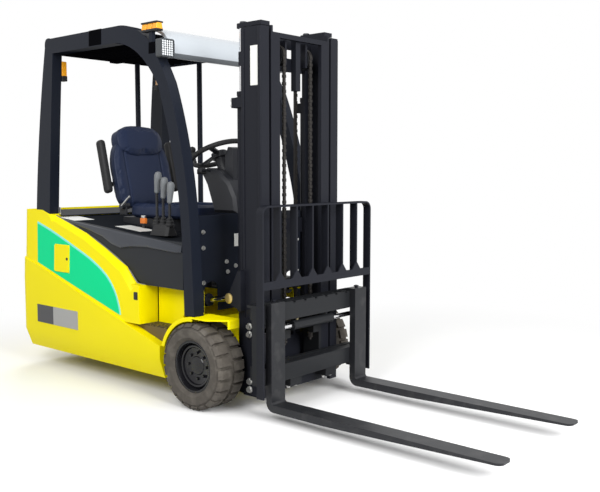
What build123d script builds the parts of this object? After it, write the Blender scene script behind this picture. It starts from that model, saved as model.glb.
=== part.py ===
"""Three-wheel electric counterbalance forklift: solids in millimetres, +X to the fork tips, +Z up."""
import math
import os

from build123d import *

os.makedirs("parts", exist_ok=True)

# Overall stations
length_to_face = 2140       # tail to the forks' load face
fork_length = 1250          # load face to the fork tips
load_distance = 450         # front axle to the load face
wheelbase = 1290
body_width = 1020
sill_z = 117                # underside of the body skirt
running_gap = 1             # between faces that turn or slide on each other
seat_gap = 0.3              # between a piece and what it stands on
work_gap = 8                # between pieces that pass each other in motion
tail_x = -(length_to_face + fork_length) / 2
face_x = tail_x + length_to_face
axle_x = face_x - load_distance
steer_x = axle_x - wheelbase

# Front wheels
tyre_r = 229
tyre_width = 190
track_inset = 150           # body width less the wheel track
track = body_width - track_inset
rim_r = 138
lug_count = 22
hub_r = 62

# Rear twin wheels
rear_tyre_r = 190
rear_tyre_width = 100
rear_track = 134
rear_rim_r = 112
rear_axle_r = 25
kingpin_r = 45
turntable_r = 170
turntable_z = 415
well_r = 230
well_z = 448

# Body shell
body_half = body_width / 2
crease_z = 225              # top of the skirt that slopes in
waist_z = 560               # above it the sides lean in
deck_z = 1000               # top of the body at the tail
skirt_angle = 18.4
lean_angle = 2.2
tail_corner_r = 80
tail_crown = [(0, 34), (18, 14), (60, 0)]   # rounded top edge of the tail: in from it, down from the top
ridge_inset = 7             # the flanks above the diagonal ridge are set in
edge_chamfer = 28           # broad slope along the shoulder of the flanks
shell_wall = 52             # thickness of the side walls
battery_length = 414
battery_side_gap = 43
battery_width = body_width - 2 * (shell_wall + battery_side_gap)
battery_height = 627
battery_front_back = 602    # front axle back to the battery's front
battery_z = 152
battery_gap = 20
battery_front_x = axle_x - battery_front_back
battery_rear_x = battery_front_x - battery_length
seam_x = battery_rear_x - battery_gap
cover_seam = 3              # joint between the yellow shell and the black cover
inner_y = body_half - shell_wall
hood_half = inner_y - cover_seam

# Line where the yellow shell gives way to the black cover, from the front axle
shoulder_points = [(-1318, 966), (-998, 874), (-799, 792), (-610, 703), (-522, 616)]
rear_rise = shoulder_points[0][1] - shoulder_points[1][1]
rear_run = shoulder_points[1][0] - shoulder_points[0][0]
slope_runout = 36           # the shoulder's slope runs out over this length ahead of the rear pillar
shelf_z = 612               # lower edge of the cover beside the step
wall_front = 450            # front edge of the side wall behind the axle
skirt_front = 268           # front end of the lower skirt behind the axle
step_z = 395
step_back = 592             # rear end of the step opening behind the axle
step_low_z = 300
step_depth = 140
tread_thick = 8
panel_wall = 10
ridge_points = [(-skirt_front, step_low_z), (-step_back, step_z), (-1483, 655), (-1710, 700)]

# Arch over the front wheels and the plane the overhead guard stands on
arch_gap = 23
fender_thick = 8
arch_z = 2 * tyre_r + arch_gap
guard_foot_z = arch_z + fender_thick + seat_gap
guard_top_z = 2052
guard_base_y = body_half - 10   # outer face at the foot of the front pillar
guard_width = 66
lean = math.radians(1.65)


def stations(points):
    """Points given from the front axle, moved to the part's own frame."""
    return [(axle_x + x, z) for x, z in points]


def side_plane(y):
    """Upright plane along the truck; its extrusions go to the right, towards -Y."""
    return Plane(origin=(0, y, 0), x_dir=(1, 0, 0), z_dir=(0, -1, 0))


def cross_plane(x):
    """Upright plane across the truck; its extrusions go forward."""
    return Plane(origin=(x, 0, 0), x_dir=(0, 1, 0), z_dir=(1, 0, 0))


def slab(points, plane, depth, mode=Mode.ADD):
    """Closed outline on a plane, extruded by depth."""
    with BuildSketch(plane) as outline:
        with BuildLine():
            Polyline(*points, close=True)
        make_face()
    extrude(outline.sketch, amount=depth, mode=mode)


def block(x_span, y_span, z_span, mode=Mode.ADD):
    """Straight bar or plate between two stations on each axis."""
    size = [high - low for low, high in (x_span, y_span, z_span)]
    centre = [(high + low) / 2 for low, high in (x_span, y_span, z_span)]
    with Locations(tuple(centre)):
        Box(*size, mode=mode)


def cross_bar(centre, radius, y_span, mode=Mode.ADD):
    """Round bar across the truck."""
    low, high = y_span
    with BuildSketch(side_plane(high)) as disc:
        with Locations(centre):
            Circle(radius)
    extrude(disc.sketch, amount=high - low, mode=mode)


def upright(centre, radius, z_span, mode=Mode.ADD):
    """Round bar standing up."""
    low, high = z_span
    with BuildSketch(Plane.XY.offset(low)) as disc:
        with Locations(centre):
            Circle(radius)
    extrude(disc.sketch, amount=high - low, mode=mode)


def ring(centre, points):
    """Section given as distance to the left of a centre and radius, turned about its cross axis."""
    with BuildSketch(Plane(origin=centre, x_dir=(0, 1, 0), z_dir=(-1, 0, 0))) as section:
        with BuildLine():
            Polyline(*points, close=True)
        make_face()
    revolve(section.sketch, axis=Axis(centre, (0, 1, 0)))


def around(middle, half):
    """Span of a piece that is centred on a station."""
    return (middle - half, middle + half)


def guard_inside(z):
    """Half width between the two guard sides at a height."""
    return guard_base_y - guard_width / math.cos(lean) - (z - guard_foot_z) * math.tan(lean)


def save(piece, name):
    """Label a finished piece and write it."""
    piece.part.label = name
    export_step(piece.part, f"parts/{name}.step")


def body_envelope(front_x, inset):
    """Whole outside of the yellow body: straight waist, leaning sides and sloping skirt."""
    middle_x = (tail_x + inset + front_x) / 2 + tail_corner_r
    run = front_x - tail_x - inset + 2 * tail_corner_r
    for base_z, end_z, taper in ((crease_z, waist_z, 0), (waist_z, deck_z, lean_angle),
                                 (crease_z, sill_z, skirt_angle)):
        with BuildSketch(Plane.XY.offset(base_z)) as plan:
            with Locations((middle_x, 0)):
                RectangleRounded(run, body_width - 2 * inset, tail_corner_r)
        extrude(plan.sketch, amount=end_z - base_z, taper=taper)


def below_ridge(front_x):
    """Side view of everything under the diagonal ridge."""
    line = stations(ridge_points)
    return [(tail_x - panel_wall, 0), (front_x, 0), (front_x, step_low_z)] + line[1:]


def slope_shoulder():
    """Cut the broad slope along both shoulders of the body."""
    line = stations(shoulder_points)
    runout_rise = slope_runout * rear_rise / rear_run + edge_chamfer + 2
    line.insert(0, (line[0][0] - slope_runout, line[0][1] + runout_rise))
    for (start_x, start_z), (end_x, end_z) in zip(line, line[1:]):
        along = Vector(end_x - start_x, 0, end_z - start_z)
        lean_in = ((start_z + end_z) / 2 - waist_z) * math.tan(math.radians(lean_angle))
        outside = body_half - ridge_inset - lean_in
        for side in (-1, 1):
            plane = Plane(origin=(start_x, 0, start_z), x_dir=(0, side, 0), z_dir=along)
            down = 1 if plane.y_dir.Z < 0 else -1
            slab([(outside - edge_chamfer - 1, -down), (body_width, -down),
                  (body_width, down * (body_width - outside + edge_chamfer))],
                 plane, along.length + edge_chamfer, mode=Mode.SUBTRACT)


# Counterweight with the steer wheel's well, the tow slot and the seat for the cover
pocket_back = 1345
pocket_z = 850
tow_slot_z = 330
tow_slot_height = 70
tow_slot_depth = 95
tow_slot_half = 70
with BuildPart() as lower_weight:
    body_envelope(seam_x, 0)
    slab(below_ridge(seam_x), side_plane(body_width), 2 * body_width, mode=Mode.INTERSECT)
with BuildPart() as counterweight:
    body_envelope(seam_x, ridge_inset)
    slope_shoulder()
    add(lower_weight.part)
    block((seam_x, seam_x + body_width), (-body_width, body_width), (0, 2 * deck_z), mode=Mode.SUBTRACT)
    upright((steer_x, 0), well_r, (0, well_z), mode=Mode.SUBTRACT)
    upright((steer_x, 0), kingpin_r + running_gap, (well_z, pocket_z), mode=Mode.SUBTRACT)
    block((axle_x - pocket_back, seam_x), (-inner_y, inner_y), (pocket_z, deck_z), mode=Mode.SUBTRACT)
    shoulder = stations(shoulder_points)
    crest_x = shoulder[0][0] - (deck_z - shoulder[0][1]) * rear_run / rear_rise
    top_cut = [(crest_x, deck_z), shoulder[1], (seam_x + body_width, deck_z)]
    slab(top_cut, side_plane(body_width), 2 * body_width, mode=Mode.SUBTRACT)
    crown = [(tail_x + back, deck_z - drop) for back, drop in tail_crown]
    slab(crown + [(tail_x, deck_z)], side_plane(body_width), 2 * body_width, mode=Mode.SUBTRACT)
    block((tail_x, tail_x + tow_slot_depth), around(0, tow_slot_half),
          (tow_slot_z, tow_slot_z + tow_slot_height), mode=Mode.SUBTRACT)
save(counterweight, "counterweight")

# Side walls of the battery bay, cut away over the step, each with a panel that closes its front edge
wall_outline = [(seam_x, sill_z), (axle_x - skirt_front, sill_z), (axle_x - skirt_front, step_low_z),
                (axle_x - step_back, step_z), (axle_x - wall_front, step_z), (axle_x - wall_front, shelf_z)]
wall_outline += list(reversed(stations(shoulder_points[1:])))
wall_top_z = shoulder_points[1][1] + rear_rise * (shoulder_points[1][0] + axle_x - seam_x) / rear_run
wall_outline += [(seam_x, wall_top_z)]
step_inner_y = body_half - step_depth
with BuildPart() as lower_wall:
    body_envelope(axle_x - skirt_front, 0)
    slab(below_ridge(axle_x - skirt_front), side_plane(body_width), 2 * body_width, mode=Mode.INTERSECT)
with BuildPart() as side_walls:
    body_envelope(axle_x - skirt_front, ridge_inset)
    slope_shoulder()
    add(lower_wall.part)
    slab(wall_outline, side_plane(-inner_y), shell_wall + 1, mode=Mode.INTERSECT)
    wall_front_x = axle_x - wall_front
    block((wall_front_x - panel_wall, wall_front_x), (-inner_y, -step_inner_y), (step_z, shelf_z))
    mirror(about=Plane.XZ)
save(side_walls, "side_walls")

# Step treads, each with the dark riser below it
tread_x = (axle_x - step_back, axle_x - skirt_front)
with BuildPart() as step_treads:
    block(tread_x, (-inner_y, -step_inner_y), (step_z - tread_thick, step_z))
    block(tread_x, (-inner_y, -inner_y + tread_thick), (step_low_z, step_z - tread_thick))
    mirror(about=Plane.XZ)
save(step_treads, "step_treads")

# Mast stations
mast_ahead = 305            # front face of the rails ahead of the front axle
rail_depth = 140
rail_flange = 22
rail_web = 14
mast_gap = 36               # tyre to the outer rail
outer_rail_y = track / 2 - tyre_width / 2 - mast_gap
outer_rail_width = 58
rail_gap = 15
inner_rail_y = outer_rail_y - outer_rail_width - rail_gap
inner_rail_width = 66
inner_web_y = inner_rail_y - inner_rail_width
cylinder_ahead = 124
cylinder_inset = 56
cylinder_y = outer_rail_y - cylinder_inset
rail_x = axle_x + mast_ahead
rail_rear_x = rail_x - rail_depth
cylinder_x = axle_x + cylinder_ahead
roller_x = rail_x - rail_depth / 2

# Chassis: battery bay floor, step walls, front cross wall and the brackets that hinge the mast
chassis_wall = 14
floor_z = shelf_z
mid_wall_back = 442
mid_wall_x = axle_x - mid_wall_back
front_wall_back = 150
front_wall_top_z = 430
front_wall_half = track / 2 - tyre_width / 2 - 2 * work_gap
front_wall_x = axle_x - front_wall_back
bulkhead_back = 60
bulkhead_x = axle_x - bulkhead_back - panel_wall
pivot_ahead = 70            # mast hinge ahead of the front axle
pivot_z = 262
pivot_pin_r = 22
pivot_inset = 98
pivot_inner_y = cylinder_y - pivot_inset
bracket_wall = 28
bracket_boss_r = 42
drive_boss_r = 88
drive_boss_flat = 70
pivot_x = axle_x + pivot_ahead
pivot_outer_y = pivot_inner_y + bracket_wall
tilt_outset = 14
tilt_y = outer_rail_y + tilt_outset
tilt_rear_back = 390
tilt_rear_z = 500
tilt_pin_r = 14
tilt_eye_half = 12
tilt_ear_wall = 10
tilt_ear_r = 30
ear_span = tilt_eye_half + running_gap
tilt_rear_x = axle_x - tilt_rear_back
step_rear_x = axle_x - step_back
arch_bend = 160
step_wall_outline = [(step_rear_x, battery_z), (axle_x - skirt_front, battery_z),
                     (axle_x - skirt_front, step_low_z), (axle_x - tyre_r, arch_z - arch_gap),
                     (axle_x - arch_bend, arch_z), (bulkhead_x, arch_z), (bulkhead_x, floor_z - panel_wall),
                     (mid_wall_x, floor_z - panel_wall), (mid_wall_x, step_z), (step_rear_x, step_z)]
with BuildPart() as chassis:
    bay_floor_z = (battery_z - chassis_wall, battery_z)
    block((seam_x, step_rear_x), (-inner_y, inner_y), bay_floor_z)
    block((step_rear_x, axle_x - skirt_front), (-step_inner_y, step_inner_y), bay_floor_z)
    block((axle_x - skirt_front, front_wall_x), (-front_wall_half, front_wall_half), bay_floor_z)
    block((mid_wall_x, mid_wall_x + chassis_wall), around(0, step_inner_y),
          (battery_z, floor_z - panel_wall))
    block((front_wall_x - chassis_wall, front_wall_x), (-front_wall_half, front_wall_half),
          (battery_z, front_wall_top_z))
    slab(step_wall_outline, side_plane(-step_inner_y + panel_wall), panel_wall)
    slab(step_wall_outline, side_plane(step_inner_y), panel_wall)
    for side in (-1, 1):
        middle_y = side * (pivot_inner_y + pivot_outer_y) / 2
        span = around(middle_y, bracket_wall / 2)
        block((front_wall_x, axle_x), span, around(tyre_r, drive_boss_flat))
        cross_bar((axle_x, tyre_r), drive_boss_r, span)
        slab([(axle_x, tyre_r - bracket_boss_r), (axle_x, pivot_z + bracket_boss_r),
              (pivot_x, pivot_z + bracket_boss_r), (pivot_x, pivot_z - bracket_boss_r)],
             side_plane(span[1]), bracket_wall)
        cross_bar((pivot_x, pivot_z), bracket_boss_r, span)
        pin_inner = side * (pivot_inner_y - bracket_wall)
        cross_bar((pivot_x, pivot_z), pivot_pin_r, sorted((pin_inner, middle_y)))
        for ear_side in (-1, 1):
            ear = around(side * tilt_y + ear_side * (ear_span + tilt_ear_wall / 2), tilt_ear_wall / 2)
            block((mid_wall_x + chassis_wall, tilt_rear_x), ear, around(tilt_rear_z, tilt_ear_r))
            cross_bar((tilt_rear_x, tilt_rear_z), tilt_ear_r, ear)
        cross_bar((tilt_rear_x, tilt_rear_z), tilt_pin_r, around(side * tilt_y, ear_span + tilt_ear_wall / 2))
save(chassis, "chassis")

# Battery block in its bay, with two lifting eyes on its top
eye_ring_r = 26
eye_hole_r = 14
eye_plate = 12
eye_rise = 18
with BuildPart() as battery:
    battery_top_z = battery_z + battery_height
    block((battery_rear_x, battery_front_x), around(0, battery_width / 2), (battery_z, battery_top_z))
    for side in (-1, 1):
        eye_y = side * (battery_width / 2 - 2 * eye_ring_r)
        eye_at = ((battery_rear_x + battery_front_x) / 2, battery_top_z + eye_rise)
        cross_bar(eye_at, eye_ring_r, around(eye_y, eye_plate / 2))
        cross_bar(eye_at, eye_hole_r, around(eye_y, eye_plate), mode=Mode.SUBTRACT)
save(battery, "battery")

# Black cover over the battery: a shell with its right console reaching forward beside the driver
cover_wall = 12
cover_round = 22
cover_rear_back = pocket_back - cover_seam
cover_rear_z = 958
cover_bend_back = 330
cover_bend_z = 872
cover_front_z = 868
seat_front_back = 470
console_inner_y = 250
console_front_back = 132


def cover_top(back):
    """Height of the black cover's sloping top at a distance behind the front axle."""
    rise = (cover_rear_z - cover_bend_z) / (cover_rear_back - cover_bend_back)
    return cover_bend_z + rise * (back - cover_bend_back)


hood_outline = stations([(-cover_rear_back, pocket_z), (-cover_rear_back, cover_rear_z),
                         (-cover_bend_back, cover_bend_z), (-console_front_back, cover_front_z),
                         (-console_front_back, floor_z), (-seat_front_back, floor_z)])
hood_outline += [(seam_x, pocket_z)]
hood_inside = stations([(-cover_rear_back + cover_wall, pocket_z - cover_wall),
                        (-cover_rear_back + cover_wall, cover_rear_z - cover_wall),
                        (-cover_bend_back, cover_bend_z - cover_wall),
                        (-console_front_back - cover_wall, cover_front_z - cover_wall),
                        (-console_front_back - cover_wall, floor_z - cover_wall),
                        (-seat_front_back, floor_z - cover_wall)])
hood_inside += [(seam_x, pocket_z - cover_wall)]
seat_front_x = axle_x - seat_front_back
console_front_x = axle_x - console_front_back
with BuildPart() as seat_hood:
    slab(hood_outline, side_plane(hood_half), 2 * hood_half)
    block((seat_front_x, axle_x), (-console_inner_y, hood_half), (floor_z, deck_z), mode=Mode.SUBTRACT)
    long_edges = seat_hood.edges().filter_by(lambda edge: abs(edge.tangent_at(0.5).X) > 0.9)
    top_edges = long_edges.filter_by(lambda edge: edge.center().Z > cover_front_z - cover_wall)
    fillet(top_edges.filter_by(lambda edge: abs(edge.center().Y) > hood_half - 1), radius=cover_round)
    slab(hood_inside, side_plane(hood_half - cover_wall), 2 * (hood_half - cover_wall), mode=Mode.SUBTRACT)
    block((seat_front_x - cover_wall, seat_front_x), (-console_inner_y, hood_half - cover_wall),
          (floor_z, cover_bend_z))
    block((seat_front_x - cover_wall, console_front_x), (-console_inner_y - cover_wall, -console_inner_y),
          (floor_z, cover_front_z - cover_wall / 2))
save(seat_hood, "seat_hood")

# Cab floor
with BuildPart() as floor_plate:
    block((seat_front_x + cover_seam, bulkhead_x), (-console_inner_y + cover_seam, step_inner_y),
          (floor_z - panel_wall, floor_z))
save(floor_plate, "floor_plate")

# Front bulkhead with the two arches that let the tilt cylinders through
bulkhead_top_z = 1010
bulkhead_half = guard_inside(bulkhead_top_z) - seat_gap
tilt_arch_half = 52
tilt_arch_z = 600
bulkhead_lip = 45
with BuildPart() as bulkhead:
    block((bulkhead_x, bulkhead_x + panel_wall), around(0, bulkhead_half), (guard_foot_z, bulkhead_top_z))
    block((bulkhead_x - bulkhead_lip, bulkhead_x), around(0, bulkhead_half),
          (bulkhead_top_z - panel_wall, bulkhead_top_z))
    for side in (-1, 1):
        with BuildSketch(cross_plane(bulkhead_x)) as arch:
            with Locations((side * tilt_y, tilt_arch_z)):
                Circle(tilt_arch_half)
            with Locations((side * tilt_y, (guard_foot_z + tilt_arch_z) / 2)):
                Rectangle(2 * tilt_arch_half, tilt_arch_z - guard_foot_z)
        extrude(arch.sketch, amount=panel_wall, mode=Mode.SUBTRACT)
save(bulkhead, "bulkhead")

# Fenders: an arch over the tyre with a lip round it and a flat toe turned down at the front
fender_outer_y = body_half + 5
fender_toe = 205
fender_toe_y = 440
fender_toe_lip = 40
fender_sweep = 72
fender_r = tyre_r + arch_gap


def arch_band(inner_r, outer_r, y_span):
    """Sector over the front wheel, from its top to the rear."""
    low, high = y_span
    with BuildSketch(side_plane(high)) as band:
        with BuildLine():
            outer_arc = CenterArc((axle_x, tyre_r), outer_r, 90, fender_sweep)
            inner_arc = CenterArc((axle_x, tyre_r), inner_r, 90, fender_sweep)
            Line(outer_arc @ 0, inner_arc @ 0)
            Line(outer_arc @ 1, inner_arc @ 1)
        make_face()
    extrude(band.sketch, amount=high - low)


with BuildPart() as fenders:
    toe_x = axle_x + fender_toe
    arch_band(fender_r, fender_r + fender_thick, (-fender_outer_y, -step_inner_y))
    arch_band(tyre_r + work_gap, fender_r, (-fender_outer_y, -fender_outer_y + fender_thick))
    block((axle_x, toe_x), (-fender_outer_y, -step_inner_y), (arch_z, arch_z + fender_thick))
    block((toe_x - fender_thick, toe_x), (-fender_outer_y, -step_inner_y), (arch_z - fender_toe_lip, arch_z))
    slab([(axle_x + fender_toe / 2, -fender_outer_y - 1), (toe_x + 1, -fender_outer_y - 1),
          (toe_x + 1, -fender_toe_y)], Plane.XY, 2 * arch_z, mode=Mode.SUBTRACT)
    mirror(about=Plane.XZ)
save(fenders, "fenders")

# Overhead guard: each side is one bent frame, pillar to pillar, on a plane that leans in
rear_foot_z = shoulder_points[0][1]
guard_rise = guard_top_z - guard_foot_z
guard_plane = Plane(origin=(0, -guard_base_y, guard_foot_z), x_dir=(1, 0, 0),
                    z_dir=(0, math.cos(lean), -math.sin(lean)))


def guard_local(points):
    """Points as distance from the front axle and share of the guard's rise, on its leaning plane."""
    return [(axle_x + x, -share * guard_rise / math.cos(lean)) for x, share in points]


foot_trim = -0.008          # the pillars start below their feet and are cut level
rear_trim = (rear_foot_z - guard_foot_z) / guard_rise + foot_trim
lamp_width = 92
lamp_height = 96
lamp_depth = 45
lamp_drop = 160
lamp_back = 240
lamp_inset = 55
lamp_z = guard_top_z - lamp_drop
lamp_y = guard_base_y - lamp_inset
lamp_arm = 70
lamp_arm_half = 12
beacon_back = 370
beacon_drop = 62
beacon_post = 60
beacon_z = guard_top_z - beacon_drop
beacon_y = guard_base_y - lamp_inset
front_edge = guard_local([(6, foot_trim), (-12, 0.135), (-53, 0.384), (-150, 0.65), (-227, 0.785)])
front_bend = guard_local([(-227, 0.785), (-310, 0.871), (-395, 0.935), (-513, 0.981), (-650, 1)])
rear_bend = guard_local([(-1340, 1), (-1395, 0.997), (-1404, 0.967)])
rear_edge = guard_local([(-1404, 0.967), (-1470, 0.647), (-1505, rear_trim)])
rear_inner = guard_local([(-1355, rear_trim), (-1338, 0.647), (-1318, 0.941)])
inner_bend = guard_local([(-690, 0.941), (-585, 0.927), (-470, 0.889), (-372, 0.832), (-302, 0.775)])
inner_edge = guard_local([(-302, 0.775), (-228, 0.64), (-122, 0.378), (-84, 0.135), (-72, foot_trim)])
with BuildPart() as guard_sides:
    with BuildSketch(guard_plane) as loop:
        with BuildLine():
            Spline(*front_edge)
            Spline(*front_bend)
            Line(front_bend[-1], rear_bend[0])
            Spline(*rear_bend)
            Spline(*rear_edge)
            Line(rear_edge[-1], rear_inner[0])
            Spline(*rear_inner)
            Line(rear_inner[-1], inner_bend[0])
            Spline(*inner_bend)
            Spline(*inner_edge)
            Line(inner_edge[-1], front_edge[0])
        make_face()
    extrude(loop.sketch, amount=guard_width)
    lamp_rear_x = axle_x - lamp_back - lamp_depth
    block((lamp_rear_x - lamp_arm, lamp_rear_x), around(-lamp_y, lamp_arm_half),
          around(lamp_z, lamp_arm_half))
    block(around(axle_x - beacon_back, lamp_arm_half), around(-beacon_y, lamp_arm_half),
          (beacon_z - beacon_post, beacon_z))
    block((seat_front_x, face_x), (-body_width, 0), (0, guard_foot_z), mode=Mode.SUBTRACT)
    slab([(tail_x, 0), (tail_x, deck_z), (crest_x, deck_z), shoulder[1], (shoulder[1][0], 0)],
         side_plane(0), body_width, mode=Mode.SUBTRACT)
    mirror(about=Plane.XZ)
save(guard_sides, "guard_sides")

# Roof: a grid of upright flat bars between two cross beams
roof_drop = 67
roof_z = guard_top_z - roof_drop
roof_bar_count = 10
roof_bar_thick = 14
roof_bar_height = 54
roof_beam = 60
roof_rear_back = 1330
roof_front_back = 560
roof_half = guard_inside(roof_z + roof_bar_height / 2) - seat_gap
roof_pitch = (roof_rear_back - roof_front_back) / (roof_bar_count + 1)
roof_low_z = roof_z - roof_bar_height / 2
with BuildPart() as guard_roof:
    for index in range(1, roof_bar_count + 1):
        block(around(axle_x - roof_rear_back + index * roof_pitch, roof_bar_thick / 2), around(0, roof_half),
              around(roof_z, roof_bar_height / 2))
    for back in (roof_rear_back, roof_front_back):
        block(around(axle_x - back, roof_beam / 2), around(0, roof_half), around(roof_z, roof_bar_height / 2))
    block((axle_x - roof_rear_back, axle_x - roof_front_back), around(0, roof_beam / 2),
          (roof_low_z - roof_bar_thick, roof_low_z))
save(guard_roof, "guard_roof")

# Pale header that falls from the roof's front edge, rounded over, with a lip below
header_wall = 14
header_top_back = 440
header_top_drop = 30
header_bulge_back = 322
header_bulge_drop = 80
header_low_back = 268
header_low_drop = 178
header_lip = 26
header_low_z = guard_top_z - header_low_drop
header_low_x = axle_x - header_low_back
header_top_x = axle_x - header_top_back
header_top_z = guard_top_z - header_top_drop
bulge_x = axle_x - header_bulge_back
bulge_z = guard_top_z - header_bulge_drop
header_half = guard_inside(header_top_z) - seat_gap
with BuildPart() as guard_header:
    with BuildSketch(side_plane(header_half)):
        with BuildLine():
            crown = ThreePointArc((header_top_x, header_top_z), (bulge_x, bulge_z),
                                  (header_low_x, header_low_z))
            Polyline(crown @ 1, (header_low_x, header_low_z - header_lip),
                     (header_low_x - header_wall, header_low_z - header_lip),
                     (header_low_x - header_wall, header_low_z))
            inside = ThreePointArc((header_low_x - header_wall, header_low_z),
                                   (bulge_x - header_wall, bulge_z - header_wall),
                                   (header_top_x, header_top_z - header_wall))
            Line(inside @ 1, crown @ 0)
        make_face()
    extrude(amount=2 * header_half)
save(guard_header, "guard_header")

# Posts: one behind the seat, one beside the entry
post_r = 17
rear_post_y = 182
rear_post_back = 1315
rail_post_back = 890
rail_y = guard_inside(guard_top_z) - 2 * post_r
with BuildPart() as guard_posts:
    for back, post_y in ((rear_post_back, rear_post_y), (rail_post_back, rail_y)):
        upright((axle_x - back, post_y), post_r, (cover_top(back + post_r) + seat_gap, roof_low_z))
save(guard_posts, "guard_posts")

# Lamps: two work lamps at the front corners, a beacon on the guard, tail lamps on the rear pillars
lamp_round = 12
lamp_bezel = 8
lens_sink = 4
with BuildPart() as work_lamps:
    with BuildSketch(cross_plane(lamp_rear_x)) as housing:
        with Locations((-lamp_y, lamp_z)):
            RectangleRounded(lamp_width, lamp_height, lamp_round)
    extrude(housing.sketch, amount=lamp_depth)
    with BuildSketch(cross_plane(lamp_rear_x + lamp_depth - lens_sink)) as lens:
        with Locations((-lamp_y, lamp_z)):
            Rectangle(lamp_width - 2 * lamp_bezel, lamp_height - 2 * lamp_bezel)
    extrude(lens.sketch, amount=lens_sink, mode=Mode.SUBTRACT)
    mirror(about=Plane.XZ)
save(work_lamps, "work_lamps")
beacon_length = 130
beacon_half = 22
beacon_top_half = 15
beacon_base = 12
beacon_height = 48
beacon_cells = 3
cell_slot = 5
tail_lamp_back = 1320
tail_lamp_drop = 252
tail_lamp_height = 120
tail_lamp_width = 34
tail_lamp_depth = 40
tail_lamp_slope = 12
tail_lamp_z = guard_top_z - tail_lamp_drop
tail_lamp_y = guard_inside(tail_lamp_z + tail_lamp_height) - seat_gap
tail_lamp_x = axle_x - tail_lamp_back
with BuildPart() as signal_lamps:
    beacon_rear_x = axle_x - beacon_back - beacon_length / 2
    cell_z = (beacon_z + beacon_base, beacon_z + beacon_height)
    slab([(-beacon_y - beacon_half, beacon_z), (-beacon_y + beacon_half, beacon_z),
          (-beacon_y + beacon_half, cell_z[0]), (-beacon_y + beacon_top_half, cell_z[1]),
          (-beacon_y - beacon_top_half, cell_z[1]), (-beacon_y - beacon_half, cell_z[0])],
         cross_plane(beacon_rear_x), beacon_length)
    for index in range(1, beacon_cells):
        block(around(beacon_rear_x + index * beacon_length / beacon_cells, cell_slot / 2),
              around(-beacon_y, beacon_half), cell_z, mode=Mode.SUBTRACT)
    for side in (-1, 1):
        slab([(tail_lamp_x, side * tail_lamp_y), (tail_lamp_x, side * (tail_lamp_y - tail_lamp_width)),
              (tail_lamp_x - tail_lamp_depth, side * (tail_lamp_y - tail_lamp_width + tail_lamp_slope)),
              (tail_lamp_x - tail_lamp_depth, side * tail_lamp_y)],
             Plane.XY.offset(tail_lamp_z), tail_lamp_height)
save(signal_lamps, "signal_lamps")

# Seat on its base
seat_base_half = 190
seat_base_rear_back = 1000
seat_base_front_back = 520
seat_base_z = 962
cushion_half = 240
cushion_front_back = 352
cushion_rear_back = 950
cushion_top_z = 1052
cushion_roll = 30
pad_edge = 12
back_half = 232
back_top_half = 150
back_shoulder = 0.7         # share of the seat back's length up to its shoulders
back_foot_back = 952
back_foot_z = 1011
back_thick = 92
back_top_z = 1530
back_round = 70
head_half = 170
head_drop = 150
head_proud = 13
recline = math.radians(14)
with BuildPart() as seat_base:
    slab([(axle_x - seat_base_rear_back, cover_top(seat_base_rear_back)),
          (axle_x - seat_base_front_back, cover_top(seat_base_front_back)),
          (axle_x - seat_base_front_back, seat_base_z), (axle_x - seat_base_rear_back, seat_base_z)],
         side_plane(seat_base_half), 2 * seat_base_half)
save(seat_base, "seat_base")
with BuildPart() as seat_cushion:
    cushion_low_z = seat_base_z + seat_gap
    slab(stations([(-cushion_rear_back, cushion_low_z), (-cushion_front_back - cushion_roll, cushion_low_z),
                   (-cushion_front_back, cushion_low_z + cushion_roll),
                   (-cushion_front_back, cushion_top_z - cushion_roll),
                   (-cushion_front_back - cushion_roll, cushion_top_z), (-cushion_rear_back, cushion_top_z)]),
         side_plane(cushion_half), 2 * cushion_half)
    for end in (0, -1):
        chamfer(seat_cushion.faces().sort_by(Axis.Y)[end].edges(), length=pad_edge)
save(seat_cushion, "seat_cushion")
back_run = (back_top_z - back_foot_z) / math.cos(recline)
back_plane = Plane(origin=(axle_x - back_foot_back - seat_gap, 0, back_foot_z),
                   x_dir=(0, 1, 0), z_dir=(-math.cos(recline), 0, -math.sin(recline)))
with BuildPart() as seat_back:
    with BuildSketch(back_plane) as back_face:
        with BuildLine():
            Polyline((-back_half, 0), (back_half, 0), (back_half, -back_run * back_shoulder),
                     (back_top_half, -back_run), (-back_top_half, -back_run),
                     (-back_half, -back_run * back_shoulder), close=True)
        make_face()
        rows = back_face.vertices().group_by(Axis.Y)
        fillet(rows[0] + rows[1], radius=back_round)
    extrude(back_face.sketch, amount=back_thick)
    chamfer(seat_back.faces().sort_by(Axis.X)[-1].edges(), length=pad_edge)
    with BuildSketch(back_plane.offset(-head_proud)) as head_face:
        with Locations((0, -back_run + head_drop / 2)):
            RectangleRounded(2 * head_half, head_drop, back_round)
    extrude(head_face.sketch, amount=back_thick + head_proud)
save(seat_back, "seat_back")

# Armrests, folded up beside the seat back
arm_width = 46
arm_gap = 14
arm_thick = 62
arm_setback = 26
arm_low = 115
arm_high = 450
arm_pin_up = 170
arm_pin_in = 55
arm_pin_r = 14
arm_round = 20
with BuildPart() as armrests:
    with BuildSketch(back_plane.offset(arm_setback)):
        with Locations((-back_half - arm_gap - arm_width / 2, -(arm_low + arm_high) / 2)):
            RectangleRounded(arm_width, arm_high - arm_low, arm_round)
    extrude(amount=arm_thick)
    pin_at = back_plane.from_local_coords((-back_half - seat_gap, -arm_pin_up, arm_pin_in))
    with BuildSketch(Plane(origin=pin_at, x_dir=(1, 0, 0), z_dir=(0, -1, 0))):
        Circle(arm_pin_r)
    extrude(amount=arm_gap + arm_width / 2)
    mirror(about=Plane.XZ)
save(armrests, "armrests")

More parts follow.
